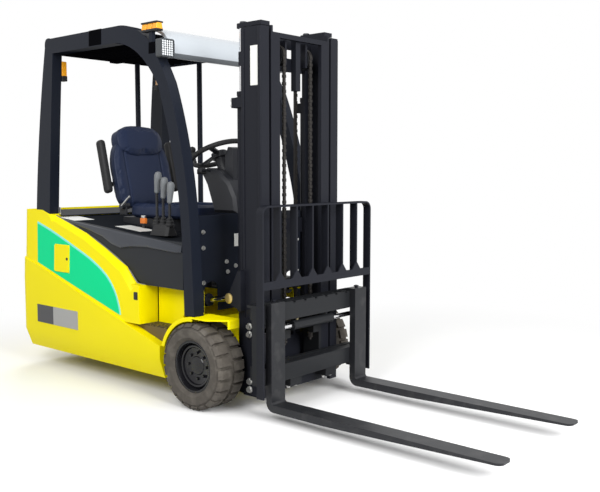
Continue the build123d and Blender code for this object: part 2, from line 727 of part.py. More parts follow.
# Steering: cowl on the bulkhead with the display pod and direction lever, column and wheel
cowl_half = 120
cowl_edge = 16
column_top_back = 318
column_top_z = 1318
column_length = 110
column_r = 34
steer_wheel_r = 165
steer_rim_r = 14
rim_sides = 8
steer_hub_r = 46
steer_hub_height = 34
spoke_width = 30
spoke_thick = 12
knob_r = 22
knob_height = 48
knob_angle = math.radians(120)
pod_half = 62
direction_z = 1250
direction_back = 290
direction_reach = 150
direction_r = 7
direction_knob_r = 12
direction_knob = 30
cowl_foot_z = bulkhead_top_z + seat_gap
cowl_outline = stations([(-bulkhead_back - panel_wall, cowl_foot_z), (-255, cowl_foot_z), (-285, 1085),
                         (-318, 1170), (-362, 1232), (-318, 1262), (-215, 1244), (-130, 1180), (-84, 1100)])
pod_outline = stations([(-150, 1190), (-215, 1235), (-215, 1326), (-190, 1380), (-150, 1372)])
tilt = math.radians(25)
column_axis = Vector(-math.sin(tilt), 0, math.cos(tilt))
column_top = Vector(axle_x - column_top_back, 0, column_top_z)
with BuildPart() as steering_cowl:
    slab(cowl_outline, side_plane(cowl_half), 2 * cowl_half)
    for end in (0, -1):
        chamfer(steering_cowl.faces().sort_by(Axis.Y)[end].edges(), length=cowl_edge)
    slab(pod_outline, side_plane(pod_half), 2 * pod_half)
    with BuildSketch(Plane(origin=column_top, x_dir=(0, 1, 0), z_dir=column_axis)) as column:
        Circle(column_r)
    extrude(column.sketch, amount=-column_length)
    direction_at = (axle_x - direction_back, direction_z)
    cross_bar(direction_at, direction_r, (-direction_reach, 0))
    cross_bar(direction_at, direction_knob_r, (-direction_reach - direction_knob, -direction_reach))
save(steering_cowl, "steering_cowl")
wheel_plane = Plane(origin=column_top + column_axis * running_gap, x_dir=(0, 1, 0), z_dir=column_axis)
with BuildPart() as steering_wheel:
    with BuildSketch(wheel_plane):
        Circle(steer_hub_r)
    extrude(amount=steer_hub_height)
    with BuildSketch(wheel_plane.offset(steer_hub_height - spoke_thick)):
        with PolarLocations(steer_wheel_r / 2, 3, start_angle=90):
            Rectangle(steer_wheel_r, spoke_width)
    extrude(amount=spoke_thick)
    rim_plane = wheel_plane.offset(steer_hub_height - spoke_thick / 2)
    rim_cut = Plane(origin=rim_plane.origin, x_dir=wheel_plane.x_dir, z_dir=wheel_plane.y_dir)
    with BuildSketch(rim_cut) as rim_section:
        with Locations((steer_wheel_r, 0)):
            RegularPolygon(steer_rim_r, rim_sides)
    revolve(rim_section.sketch, axis=Axis(wheel_plane.origin, wheel_plane.z_dir))
    with BuildSketch(wheel_plane.offset(steer_hub_height)):
        with Locations((steer_wheel_r * math.cos(knob_angle), steer_wheel_r * math.sin(knob_angle))):
            Circle(knob_r)
    extrude(amount=knob_height)
save(steering_wheel, "steering_wheel")

# Hydraulic levers on the console, rising from a ribbed boot
lever_y = 350
lever_backs = (470, 415, 360)
lever_tops = (1205, 1175, 1150)
lever_r = 7
grip_r = 13
grip_length = 62
boot_half = 46
boot_height = 60
boot_ribs = 4
boot_step = 6
boot_taper = 14
boot_back = (lever_backs[0] + lever_backs[-1]) / 2
boot_run = lever_backs[0] - lever_backs[-1] + boot_half
boot_z = cover_top(boot_back + boot_run / 2)
with BuildPart() as lever_boot:
    rib = boot_height / boot_ribs
    for index in range(boot_ribs):
        with BuildSketch(Plane.XY.offset(boot_z + index * rib)) as collar:
            with Locations((axle_x - boot_back, -lever_y)):
                Rectangle(boot_run - index * boot_step, 2 * boot_half - 2 * index * boot_step)
            chamfer(collar.vertices(), length=boot_half / 3)
        extrude(collar.sketch, amount=rib, taper=boot_taper)
save(lever_boot, "lever_boot")
boot_top_z = boot_z + boot_height
with BuildPart() as levers:
    for back, top_z in zip(lever_backs, lever_tops):
        upright((axle_x - back, -lever_y), lever_r, (boot_top_z, top_z))
        upright((axle_x - back, -lever_y), grip_r, (top_z - grip_length, top_z))
save(levers, "levers")

# Pedals on the floor
pedal_back = 150
pedal_length = 120
pedal_width = 70
pedal_thick = 10
pedal_ys = (-150, 60)
with BuildPart() as pedals:
    pedal_x = axle_x - pedal_back
    for pedal_y in pedal_ys:
        slab([(pedal_x, floor_z), (pedal_x - pedal_thick, floor_z),
              (pedal_x - pedal_length + pedal_thick, floor_z + pedal_width),
              (pedal_x - pedal_length + 2 * pedal_thick, floor_z + pedal_width + pedal_thick)],
             side_plane(pedal_y + pedal_width / 2), pedal_width)
save(pedals, "pedals")

# Front tyres: a carcass with two staggered rows of lugs
tyre_sides = 36             # facets round a tyre
tyre_reach = 1 / math.cos(math.pi / tyre_sides)


def facets(plane, radius, depth, taper=0, mode=Mode.ADD):
    """Many-sided disc about a plane's origin, its flats at the given radius."""
    with BuildSketch(plane) as outline:
        RegularPolygon(radius * tyre_reach, tyre_sides, rotation=180 / tyre_sides)
    extrude(outline.sketch, amount=depth, taper=taper, mode=mode)


def tyre_body(centre, radius, half, slope, bore_r):
    """Solid tyre with sloping shoulders and beads, faceted all round."""
    for way in (-1, 1):
        middle = Plane(origin=centre, x_dir=(1, 0, 0), z_dir=(0, way, 0))
        facets(middle, radius, half - slope)
        facets(middle.offset(half - slope), radius, slope, taper=45)
        facets(middle.offset(half), bore_r + slope, -slope, taper=45, mode=Mode.SUBTRACT)
        facets(middle, bore_r, half, mode=Mode.SUBTRACT)


carcass_r = 214
lug_width = 47
lug_inner = 12              # from the middle of the tread to a lug's inner end
lug_flat = 76               # to where its shoulder starts to slope
tyre_half = tyre_width / 2
side_slope = 18
lug_top = math.sqrt(tyre_r ** 2 - (lug_width / 2) ** 2)
corner_angle = math.degrees(math.atan2(lug_width / 2, lug_top))
bead_y = tyre_half - side_slope
wheel_centre = (axle_x, -track / 2, tyre_r)
with BuildPart() as front_tyre_right:
    tyre_body(wheel_centre, carcass_r, tyre_half, side_slope, rim_r)
    for row in (-1, 1):
        for index in range(lug_count):
            angle = math.radians(corner_angle - 90 + 360 / lug_count * (index + (row + 1) / 4))
            spoke = Vector(math.cos(angle), 0, math.sin(angle))
            tread_way = Vector(0, row, 0)
            lug_plane = Plane(origin=wheel_centre, x_dir=tread_way, z_dir=spoke.cross(tread_way))
            up = 1 if lug_plane.y_dir.dot(spoke) > 0 else -1
            with BuildSketch(lug_plane) as lug:
                with BuildLine():
                    Polyline((lug_inner, up * (carcass_r - side_slope)), (lug_inner, up * lug_top),
                             (lug_flat, up * lug_top), (tyre_half - 2, up * (carcass_r - 2)),
                             (bead_y, up * (carcass_r - side_slope)), close=True)
                make_face()
            extrude(lug.sketch, amount=lug_width / 2, both=True)
save(front_tyre_right, "front_tyre_right")
with BuildPart() as front_tyre_left:
    mirror(front_tyre_right.part, about=Plane.XZ)
save(front_tyre_left, "front_tyre_left")

# Front rims: a lip, a deep step and a flat disc on the hub
rim_wall = 10
rim_lip_r = 126
rim_step_r = 112
rim_step_y = 40
rim_disc_r = 96
rim_disc_y = 18
with BuildPart() as front_rim_right:
    ring(wheel_centre, [(0, hub_r), (-rim_wall, hub_r), (-rim_disc_y, rim_disc_r), (-rim_step_y, rim_step_r),
                        (-bead_y, rim_lip_r), (-bead_y, rim_r), (bead_y, rim_r), (bead_y, rim_lip_r),
                        (rim_wall, rim_step_r), (0, rim_disc_r)])
save(front_rim_right, "front_rim_right")
with BuildPart() as front_rim_left:
    mirror(front_rim_right.part, about=Plane.XZ)
save(front_rim_left, "front_rim_left")
drive_r = 72
drive_outer_y = track / 2 - tyre_width / 2 - work_gap
hub_flange_r = 84
hub_flange = 14
with BuildPart() as drive_units:
    cross_bar((axle_x, tyre_r), drive_r, (-drive_outer_y, -pivot_outer_y))
    cross_bar((axle_x, tyre_r), hub_flange_r, (-track / 2 + running_gap, -track / 2 + hub_flange))
    cross_bar((axle_x, tyre_r), hub_r - running_gap, (-track / 2 - rim_disc_y, -pivot_outer_y))
    mirror(about=Plane.XZ)
save(drive_units, "drive_units")

# Steer bogie: turntable, kingpin and yoke between the twin wheels
yoke_half = 10
yoke_length = 90
bogie_hub_r = 48
rear_half = rear_tyre_width / 2
rear_slope = 16
rear_outer_y = rear_track / 2 + rear_half
steer_centre = (steer_x, rear_tyre_r)
with BuildPart() as steer_bogie:
    upright((steer_x, 0), turntable_r, (turntable_z, well_z - running_gap))
    upright((steer_x, 0), kingpin_r, (turntable_z, pocket_z - work_gap))
    block(around(steer_x, yoke_length / 2), around(0, yoke_half), (rear_tyre_r, turntable_z))
    cross_bar(steer_centre, bogie_hub_r, around(0, yoke_half))
    cross_bar(steer_centre, rear_axle_r, around(0, rear_outer_y - work_gap))
save(steer_bogie, "steer_bogie")
with BuildPart() as rear_tyres:
    for side in (-1, 1):
        rear_centre = (steer_x, side * rear_track / 2, rear_tyre_r)
        tyre_body(rear_centre, rear_tyre_r, rear_half, rear_slope, rear_rim_r)
save(rear_tyres, "rear_tyres")
with BuildPart() as rear_rims:
    for side in (-1, 1):
        middle_y = side * rear_track / 2
        cross_bar(steer_centre, rear_rim_r, around(middle_y, rear_half - rear_slope))
        cross_bar(steer_centre, rear_rim_r - rim_wall, sorted((middle_y, side * rear_track)),
                  mode=Mode.SUBTRACT)
        cross_bar(steer_centre, bogie_hub_r, sorted((side * (yoke_half + running_gap), middle_y)))
    cross_bar(steer_centre, rear_axle_r + running_gap, around(0, rear_track), mode=Mode.SUBTRACT)
save(rear_rims, "rear_rims")

# Mast: outer rails hinged on the chassis, with bolted side plates and the lift cylinders behind them
outer_low_z = 70
outer_top_z = 1968
inner_low_z = 90
inner_top_z = 1945
cross_wall = 20
cylinder_r = 33
cylinder_low_z = 84
cylinder_top_z = 1650
lift_rod_r = 21
clamp_z = (1570, 1622)
clamp_wall = 12
tilt_front_ahead = 101
tilt_front_z = 580
tilt_front_x = axle_x + tilt_front_ahead
roller_r = (rail_depth - 2 * rail_flange) / 2 - running_gap
eye_r = 44
low_cross_z = (150, 330)
mid_cross_z = (905, 985)
top_cross_z = (1780, 1850)
bracket_low = 60
bracket_high = 150
plate_rear = 100            # side plate's rear edge behind the rails' front
plate_top_z = 480
plate_slant = 18
chain_thick = 14
chain_width = 22
chain_foot_z = 455
groove_r = 45
pulley_inset = 60
pulley_y = inner_web_y - pulley_inset
pulley_back = 10
pulley_x = roller_x - pulley_back
chain_in = groove_r + running_gap
chain_out = chain_in + chain_thick
chain_seat = 40


def rail(outer_y, width, z_low, z_high):
    """One right-hand channel rail, its open side towards the middle."""
    inner = -outer_y + width
    channel = [(rail_rear_x, -outer_y), (rail_x, -outer_y), (rail_x, inner), (rail_x - rail_flange, inner),
               (rail_x - rail_flange, -outer_y + rail_web), (rail_rear_x + rail_flange, -outer_y + rail_web),
               (rail_rear_x + rail_flange, inner), (rail_rear_x, inner)]
    slab(channel, Plane.XY.offset(z_low), z_high - z_low)


with BuildPart() as outer_mast:
    rail(outer_rail_y, outer_rail_width, outer_low_z, outer_top_z)
    eye_span = (-pivot_inner_y + running_gap, -pivot_inner_y + bracket_wall - running_gap)
    slab([(pivot_x, pivot_z - eye_r), (rail_rear_x - cross_wall, low_cross_z[0]),
          (rail_rear_x - cross_wall, low_cross_z[1]), (pivot_x, pivot_z + eye_r)],
         side_plane(eye_span[1]), eye_span[1] - eye_span[0])
    cross_bar((pivot_x, pivot_z), eye_r, eye_span)
    cross_bar((pivot_x, pivot_z), pivot_pin_r + running_gap, (-pivot_outer_y, 0), mode=Mode.SUBTRACT)
    bracket_z = (tilt_front_z - bracket_low, tilt_front_z + bracket_high)
    flange_x = (rail_rear_x, rail_rear_x + rail_flange)
    for ear_side in (-1, 1):
        ear = around(-tilt_y + ear_side * (ear_span + tilt_ear_wall / 2), tilt_ear_wall / 2)
        slab([(tilt_front_x, tilt_front_z - tilt_ear_r), (flange_x[1], bracket_z[0]),
              (flange_x[1], bracket_z[1]), (flange_x[0], bracket_z[1]),
              (tilt_front_x, tilt_front_z + tilt_ear_r)], side_plane(ear[1]), tilt_ear_wall)
        cross_bar((tilt_front_x, tilt_front_z), tilt_ear_r, ear)
    ear_reach = ear_span + tilt_ear_wall
    block(flange_x, (-tilt_y - ear_reach, -outer_rail_y), bracket_z)
    cross_bar((tilt_front_x, tilt_front_z), tilt_pin_r, around(-tilt_y, ear_span + tilt_ear_wall / 2))
    slab([(rail_x - plate_rear, plate_top_z), (rail_x - plate_rear, outer_low_z + plate_slant),
          (rail_x - rail_web, outer_low_z), (rail_x - rail_web, plate_top_z)],
         side_plane(-outer_rail_y), clamp_wall)
    block((cylinder_x - cylinder_r, rail_rear_x), around(-cylinder_y, cylinder_r),
          (outer_low_z, cylinder_low_z))
    block((cylinder_x - cylinder_r - clamp_wall, cylinder_x + cylinder_r / 2),
          around(-cylinder_y, cylinder_r + clamp_wall), clamp_z)
    block((cylinder_x, rail_rear_x), (-outer_rail_y, -outer_rail_y + rail_flange), clamp_z)
    chain_y = around(-pulley_y, chain_width / 2)
    block((rail_rear_x - cross_wall, rail_rear_x), chain_y, (low_cross_z[1], chain_foot_z))
    block((rail_rear_x - cross_wall, pulley_x - chain_in), chain_y, (chain_foot_z - chain_seat, chain_foot_z))
    mirror(about=Plane.XZ)
    for low, high in (low_cross_z, mid_cross_z, top_cross_z):
        block((rail_rear_x - cross_wall, rail_rear_x), around(0, outer_rail_y), (low, high))
    for side in (-1, 1):
        upright((cylinder_x, side * cylinder_y), cylinder_r + running_gap, (cylinder_low_z, outer_top_z),
                mode=Mode.SUBTRACT)
save(outer_mast, "outer_mast")

with BuildPart() as lift_barrels:
    upright((cylinder_x, -cylinder_y), cylinder_r, (cylinder_low_z, cylinder_top_z))
    upright((cylinder_x, -cylinder_y), lift_rod_r + running_gap,
            (cylinder_low_z + cross_wall, cylinder_top_z), mode=Mode.SUBTRACT)
    mirror(about=Plane.XZ)
save(lift_barrels, "lift_barrels")

# Inner mast with its rollers in the outer rails, the rod plates, the chain pulleys and the hose bracket
roller_width = 40
inner_roller_z = 190
rod_plate_thick = 22
rod_plate_z = outer_top_z + work_gap
flange_r = 54
flange_wall = 4
pulley_half = chain_width / 2 + flange_wall + running_gap
pulley_z = 1840
pulley_pin_r = 15
tie_height = 25
foot_tie = 75
hose_bracket_half = 18
hose_bracket_depth = 34
hose_bracket_z = 1665
rod_foot_z = cylinder_low_z + cross_wall + work_gap
roller_end = -outer_rail_y + rail_web + running_gap
with BuildPart() as inner_mast:
    rail(inner_rail_y, inner_rail_width, inner_low_z, inner_top_z)
    cross_bar((roller_x, inner_roller_z), roller_r, (roller_end, roller_end + roller_width))
    cross_bar((roller_x, inner_roller_z), pulley_pin_r, (roller_end, -inner_rail_y))
    block((rail_rear_x, rail_x), (-inner_rail_y, -inner_rail_y + rail_web), (inner_top_z, rod_plate_z))
    block((cylinder_x, rail_x - rail_flange), (-cylinder_y - cylinder_r, -inner_rail_y + rail_web),
          (rod_plate_z, rod_plate_z + rod_plate_thick))
    upright((cylinder_x, -cylinder_y), cylinder_r, (rod_plate_z, rod_plate_z + rod_plate_thick))
    front_flange = (rail_x - rail_flange, rail_x)
    block(front_flange, (-inner_web_y, 0), (inner_top_z - tie_height, inner_top_z))
    rear_flange = (rail_rear_x, rail_rear_x + rail_flange)
    block(rear_flange, (-inner_web_y, 0), (inner_top_z - 2 * tie_height, inner_top_z))
    block(front_flange, (-inner_web_y, 0), (inner_low_z, inner_low_z + foot_tie))
    mirror(about=Plane.XZ)
    bracket = pulley_y - pulley_half - running_gap
    for side in (-1, 1):
        cheek = sorted((side * bracket, side * (bracket - rail_web)))
        block((rear_flange[1], pulley_x + groove_r), cheek, (pulley_z - groove_r, inner_top_z - tie_height))
        cross_bar((pulley_x, pulley_z), pulley_pin_r,
                  sorted((side * (bracket - rail_web), side * (pulley_y + pulley_half))))
    block((front_flange[0] - hose_bracket_depth, front_flange[0]), around(0, hose_bracket_half),
          (hose_bracket_z, inner_top_z))
save(inner_mast, "inner_mast")
with BuildPart() as lift_rods:
    upright((cylinder_x, -cylinder_y), lift_rod_r, (rod_foot_z, rod_plate_z))
    mirror(about=Plane.XZ)
save(lift_rods, "lift_rods")
groove_half = pulley_half - flange_wall
with BuildPart() as chain_pulleys:
    for side in (-1, 1):
        ring((pulley_x, side * pulley_y, pulley_z),
             [(-pulley_half, pulley_pin_r + running_gap), (-pulley_half, flange_r), (-groove_half, flange_r),
              (-groove_half, groove_r), (groove_half, groove_r), (groove_half, flange_r),
              (pulley_half, flange_r), (pulley_half, pulley_pin_r + running_gap)])
save(chain_pulleys, "chain_pulleys")

# Lift chains: a front run to the carriage, a wrap over each pulley, and a rear run anchored on the outer mast
chain_anchor_z = 420
strand = chain_width / 2 - running_gap
with BuildPart() as chains_front:
    block((pulley_x + chain_in, pulley_x + chain_out), around(-pulley_y, chain_width / 2),
          (chain_anchor_z, pulley_z))
    mirror(about=Plane.XZ)
save(chains_front, "chains_front")
with BuildPart() as chains_back:
    with BuildSketch(side_plane(-pulley_y + chain_width / 2)):
        with Locations((pulley_x, pulley_z)):
            Circle(chain_out)
            Circle(chain_in, mode=Mode.SUBTRACT)
        with Locations((pulley_x, pulley_z - chain_out)):
            Rectangle(2 * chain_out, 2 * chain_out, mode=Mode.SUBTRACT)
    extrude(amount=chain_width)
    block((pulley_x - chain_out, pulley_x - chain_in), (-pulley_y, -pulley_y + strand),
          (chain_foot_z, pulley_z))
    mirror(about=Plane.XZ)
save(chains_back, "chains_back")
with BuildPart() as chains_fixed:
    block((pulley_x - chain_out, pulley_x - chain_in), (-pulley_y - strand, -pulley_y - running_gap),
          (chain_foot_z, pulley_z - running_gap))
    mirror(about=Plane.XZ)
save(chains_fixed, "chains_fixed")

# Carriage with its rollers in the inner rails
shift_outset = 126          # side-shift frame beyond the outer rail
shift_half = outer_rail_y + shift_outset
bar_inset = 30
bar_half = shift_half - bar_inset
bar_depth = 33
bar_ahead = 312
upper_bar_z = (500, 565)
lower_bar_z = (190, 262)
cheek_wall = 20
cheek_gap = 5
cheek_y = inner_web_y - cheek_gap - cheek_wall
cheek_rear = 200
cheek_z = (190, 558)
carriage_roller_zs = (245, 490)
anchor_height = 60
bar_x = axle_x + bar_ahead
shift_depth = 58
shift_x = bar_x + bar_depth + work_gap
shift_face_x = shift_x + shift_depth
cylinder_bar_ahead = 26
cylinder_bar_x = shift_x + cylinder_bar_ahead
cylinder_bar_z = 445
shift_cylinder_r = 26
shift_rod_r = 13
shift_barrel_half = cheek_y + cheek_wall
carriage_roller_end = -inner_rail_y + rail_web + running_gap
with BuildPart() as carriage:
    block((axle_x + cheek_rear, bar_x), (-cheek_y - cheek_wall, -cheek_y), cheek_z)
    for roller_z in carriage_roller_zs:
        cross_bar((roller_x, roller_z), roller_r, (carriage_roller_end, carriage_roller_end + roller_width))
        cross_bar((roller_x, roller_z), pulley_pin_r, (carriage_roller_end, -cheek_y - cheek_wall))
    block((pulley_x + groove_r, bar_x), (-cheek_y, -pulley_y + chain_width / 2),
          (chain_anchor_z - anchor_height, chain_anchor_z))
    block((bar_x, cylinder_bar_x), (-shift_barrel_half, -cheek_y + cheek_wall / 2),
          (cylinder_bar_z - shift_cylinder_r, cylinder_bar_z + shift_cylinder_r / 2))
    mirror(about=Plane.XZ)
    for low, high in (upper_bar_z, lower_bar_z):
        block((bar_x, bar_x + bar_depth), around(0, bar_half), (low, high))
    cross_bar((cylinder_bar_x, cylinder_bar_z), shift_cylinder_r, around(0, shift_barrel_half))
    cross_bar((cylinder_bar_x, cylinder_bar_z), shift_rod_r + running_gap, around(0, bar_half),
              mode=Mode.SUBTRACT)
save(carriage, "carriage")

# Side-shift frame hooked on the carriage's bars, with fork notches, lower hooks and its through rod
shift_plate = 34
lip = 14
notch_pitch = 86
notch_width = 16
notch_depth = 9
notch_count = 9
hook_half = 45
hook_y = 145
hook_drop = 46
shift_rod_half = shift_half - shift_plate
frame_top_z = upper_bar_z[1] + running_gap + lip
frame_low_z = lower_bar_z[0] - running_gap - lip
with BuildPart() as side_shift_frame:
    block((shift_x, shift_face_x), around(0, shift_half), (upper_bar_z[0] - lip, frame_top_z))
    block((bar_x + lip / 2, shift_x), around(0, shift_half), (frame_top_z - lip, frame_top_z))
    block((shift_x, shift_face_x), around(0, shift_half), (frame_low_z, lower_bar_z[1]))
    for side in (-1, 1):
        block((bar_x + lip / 2, shift_x), around(side * hook_y, hook_half), (frame_low_z, frame_low_z + lip))
        block((bar_x + lip / 2, shift_face_x - lip), around(side * hook_y, hook_half),
              (frame_low_z - hook_drop, frame_low_z))
        plate = sorted((side * shift_rod_half, side * shift_half))
        block((shift_x, shift_face_x), plate, (frame_low_z, frame_top_z))
    for index in range(notch_count):
        notch_y = (index - (notch_count - 1) / 2) * notch_pitch
        block((shift_face_x - shift_depth / 2, shift_face_x), around(notch_y, notch_width / 2),
              (frame_top_z - notch_depth, frame_top_z), mode=Mode.SUBTRACT)
    cross_bar((cylinder_bar_x, cylinder_bar_z), shift_rod_r, around(0, shift_rod_half))
save(side_shift_frame, "side_shift_frame")

# Load backrest of bent and straight flat bars
rest_outset = 10
rest_half = shift_half + rest_outset
rest_bar = 10
rest_depth = 45
rest_setback = 9
rest_top_z = 1077
rest_low_z = 121
rest_corner_r = 40
rest_bar_count = 6
rest_cross_z = (662, 703)
rest_tab_half = 36
rest_tab_z = 742
rest_cross_thick = 8
rest_x = face_x - rest_setback - rest_depth
rest_front_x = rest_x + rest_depth
with BuildPart() as load_backrest:
    with BuildSketch(cross_plane(rest_x)):
        with BuildLine():
            hoop_y = rest_half - rest_bar / 2
            hoop_z = rest_top_z - rest_bar / 2
            FilletPolyline((-hoop_y, rest_low_z), (-hoop_y, hoop_z), (hoop_y, hoop_z), (hoop_y, rest_low_z),
                           radius=rest_corner_r)
            offset(amount=rest_bar / 2, side=Side.BOTH)
        make_face()
    extrude(amount=rest_depth)
    pitch = 2 * hoop_y / (rest_bar_count + 1)
    for index in range(1, rest_bar_count + 1):
        bar_y = -hoop_y + index * pitch
        block((rest_x, rest_front_x), around(bar_y, rest_bar / 2), (rest_cross_z[0], hoop_z))
        slab([(bar_y - rest_tab_half, rest_cross_z[1] - 1), (bar_y + rest_tab_half, rest_cross_z[1] - 1),
              (bar_y + rest_bar / 2, rest_tab_z), (bar_y - rest_bar / 2, rest_tab_z)],
             cross_plane(rest_front_x - rest_cross_thick), rest_cross_thick)
    block((rest_front_x - rest_cross_thick, rest_front_x), around(0, rest_half - rest_bar), rest_cross_z)
save(load_backrest, "load_backrest")

# Forks: hooked shank, rounded heel and a blade that thins to the tip
fork_width = 100
fork_thick = 38
fork_inset = 91
fork_y = shift_half - fork_inset
fork_top_z = 85
shank_top_z = frame_top_z + running_gap + lip
heel_r = 48
heel_inner_r = 14
tip_thick = 10
tip_taper = 900
tip_round = 30
hook_depth = 26
tip_x = face_x + fork_length
with BuildPart() as forks:
    with BuildSketch(side_plane(-fork_y + fork_width / 2)) as fork_side:
        with BuildLine():
            shank_back = face_x - fork_thick
            blade_low = fork_top_z - fork_thick
            Polyline((shank_back, shank_top_z), (face_x, shank_top_z), (face_x, fork_top_z),
                     (tip_x, fork_top_z), (tip_x, fork_top_z - tip_thick), (tip_x - tip_taper, blade_low),
                     (shank_back, blade_low), close=True)
        make_face()
        fillet(fork_side.vertices().sort_by_distance((shank_back, blade_low, 0))[0], radius=heel_r)
        fillet(fork_side.vertices().sort_by_distance((face_x, fork_top_z, 0))[0], radius=heel_inner_r)
    extrude(fork_side.sketch, amount=fork_width)
    fillet(forks.edges().filter_by(Axis.Z).group_by(Axis.X)[-1], radius=tip_round)
    hook_x = (shank_back - hook_depth, shank_back)
    block(hook_x, around(-fork_y, fork_width / 2), (frame_top_z + running_gap, shank_top_z))
    low_hook_z = frame_low_z - running_gap
    block(hook_x, around(-fork_y, fork_width / 2), (low_hook_z - lip, low_hook_z))
    mirror(about=Plane.XZ)
save(forks, "forks")

# Tilt cylinders: barrels on the chassis, rods to the outer mast
tilt_barrel_r = 30
tilt_rod_r = 16
tilt_barrel_start = 44
tilt_bore_start = 58
tilt_barrel_end = 320
tilt_gland_r = 34
tilt_gland = 26
tilt_eye_r = 27
tilt_neck_r = 10
tilt_neck = 19              # eye centre to where the neck starts
tilt_drift = 0.9            # play in the rod's eye that the linkage needs
tilt_rod_start = 110
rod_eye_back = 38
tilt_run = Vector(tilt_front_x - tilt_rear_x, 0, tilt_front_z - tilt_rear_z)
tilt_length = tilt_run.length
tilt_plane = Plane(origin=(tilt_rear_x, -tilt_y, tilt_rear_z), x_dir=(0, 1, 0), z_dir=tilt_run)


def along_tilt(start, end, radius, mode=Mode.ADD):
    """Round length of a tilt cylinder between two distances from its rear pin."""
    with BuildSketch(tilt_plane.offset(start)) as disc:
        Circle(radius)
    extrude(disc.sketch, amount=end - start, mode=mode)


with BuildPart() as tilt_barrels:
    cross_bar((tilt_rear_x, tilt_rear_z), tilt_eye_r, around(-tilt_y, tilt_eye_half))
    along_tilt(tilt_neck, tilt_bore_start, tilt_neck_r)
    along_tilt(tilt_barrel_start, tilt_barrel_end, tilt_barrel_r)
    along_tilt(tilt_barrel_end - tilt_gland, tilt_barrel_end, tilt_gland_r)
    along_tilt(tilt_bore_start, tilt_length, tilt_rod_r + running_gap, mode=Mode.SUBTRACT)
    cross_bar((tilt_rear_x, tilt_rear_z), tilt_pin_r + running_gap, around(-tilt_y, tilt_barrel_r),
              mode=Mode.SUBTRACT)
    mirror(about=Plane.XZ)
save(tilt_barrels, "tilt_barrels")
with BuildPart() as tilt_rods:
    along_tilt(tilt_rod_start, tilt_length - rod_eye_back, tilt_rod_r)
    along_tilt(tilt_length - rod_eye_back, tilt_length - tilt_neck, tilt_neck_r)
    cross_bar((tilt_front_x, tilt_front_z), tilt_eye_r, around(-tilt_y, tilt_eye_half))
    cross_bar((tilt_front_x, tilt_front_z), tilt_pin_r + tilt_drift, around(-tilt_y, tilt_barrel_r),
              mode=Mode.SUBTRACT)
    mirror(about=Plane.XZ)
save(tilt_rods, "tilt_rods")

# Charging flap on the right-hand side of the body
flap_back = (1288, 1133)
flap_z = (628, 792)
flap_thick = 6
flap_round = 12
flap_plane = Plane(origin=(axle_x - sum(flap_back) / 2, -body_half + ridge_inset, waist_z), x_dir=(1, 0, 0),
                   z_dir=(0, -math.cos(math.radians(lean_angle)), math.sin(math.radians(lean_angle))))
with BuildPart() as charge_flap:
    with BuildSketch(flap_plane.offset(seat_gap)):
        with Locations((0, sum(flap_z) / 2 - waist_z)):
            RectangleRounded(flap_back[0] - flap_back[1], flap_z[1] - flap_z[0], flap_round)
    extrude(amount=flap_thick)
save(charge_flap, "charge_flap")
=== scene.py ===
"""Finishes, padding, fasteners, hoses and studio for a three-wheel battery forklift."""

import logging
import math
from collections.abc import Sequence
from dataclasses import dataclass
from enum import Enum

import bmesh
import bpy
from mathutils import Matrix, Vector


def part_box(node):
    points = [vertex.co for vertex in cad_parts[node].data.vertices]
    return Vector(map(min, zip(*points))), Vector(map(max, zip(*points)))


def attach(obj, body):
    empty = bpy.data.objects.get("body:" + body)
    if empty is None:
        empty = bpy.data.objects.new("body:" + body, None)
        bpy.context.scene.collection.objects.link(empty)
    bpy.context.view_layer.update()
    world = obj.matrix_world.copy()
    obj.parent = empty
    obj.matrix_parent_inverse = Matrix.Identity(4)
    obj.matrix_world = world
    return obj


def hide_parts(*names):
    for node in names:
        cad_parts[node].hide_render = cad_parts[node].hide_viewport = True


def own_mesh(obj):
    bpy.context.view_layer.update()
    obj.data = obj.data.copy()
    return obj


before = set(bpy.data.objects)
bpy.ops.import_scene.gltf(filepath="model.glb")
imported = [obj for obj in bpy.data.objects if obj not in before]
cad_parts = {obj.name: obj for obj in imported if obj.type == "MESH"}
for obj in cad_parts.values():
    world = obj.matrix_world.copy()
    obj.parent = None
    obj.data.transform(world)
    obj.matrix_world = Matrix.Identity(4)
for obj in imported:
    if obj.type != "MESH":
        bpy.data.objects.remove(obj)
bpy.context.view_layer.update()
LOG = logging.getLogger("forklift")
BMesh = bmesh.types.BMesh
Object = bpy.types.Object
Tree = bpy.types.NodeTree
Node = bpy.types.Node
Socket = bpy.types.NodeSocket
Point = Sequence[float]
Pairs = tuple[tuple[float, float], ...]
Triples = tuple[tuple[float, float, float], ...]
Spans = tuple[tuple[float, float, float, float], ...]
Colour = tuple[float, float, float]
Inputs = dict[str | int, object]
UP = Vector((0, 0, 1))
SIDES = ((-1, "right"), (1, "left"))
SHARP_ANGLE = math.radians(34)
WELD_GAP = 2e-5
COAT_ROUGHNESS = 0.06
CALM_SPAN = (0.45, 0.85)
BUMP_DEPTH = 0.001


class Body(Enum):
    """Bodies of the frame that pieces ride on."""

    TRUCK = "truck"
    WHEEL_RIGHT = "front_wheel_right"
    WHEEL_LEFT = "front_wheel_left"
    HAND_WHEEL = "hand_wheel"
    FLAP = "flap"
    MAST_OUTER = "mast_outer"
    MAST_INNER = "mast_inner"
    CARRIAGE = "lift_carriage"
    SIDE_SHIFT = "side_shift"
    TILT_BARRELS = "tilt_barrel_pair"


class Slot(Enum):
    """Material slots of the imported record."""

    YELLOW = "yellow_paint"
    COVER = "black_cover"
    BLACK = "black_paint"
    HEADER = "header_plastic"
    PLASTIC = "black_plastic"
    TREAD = "tread_plate"
    SEAT = "seat_fabric"
    LAMP = "lamp_lens"
    RIM = "rim_paint"
    CHROME = "rod_chrome"
    CHAIN = "chain_steel"


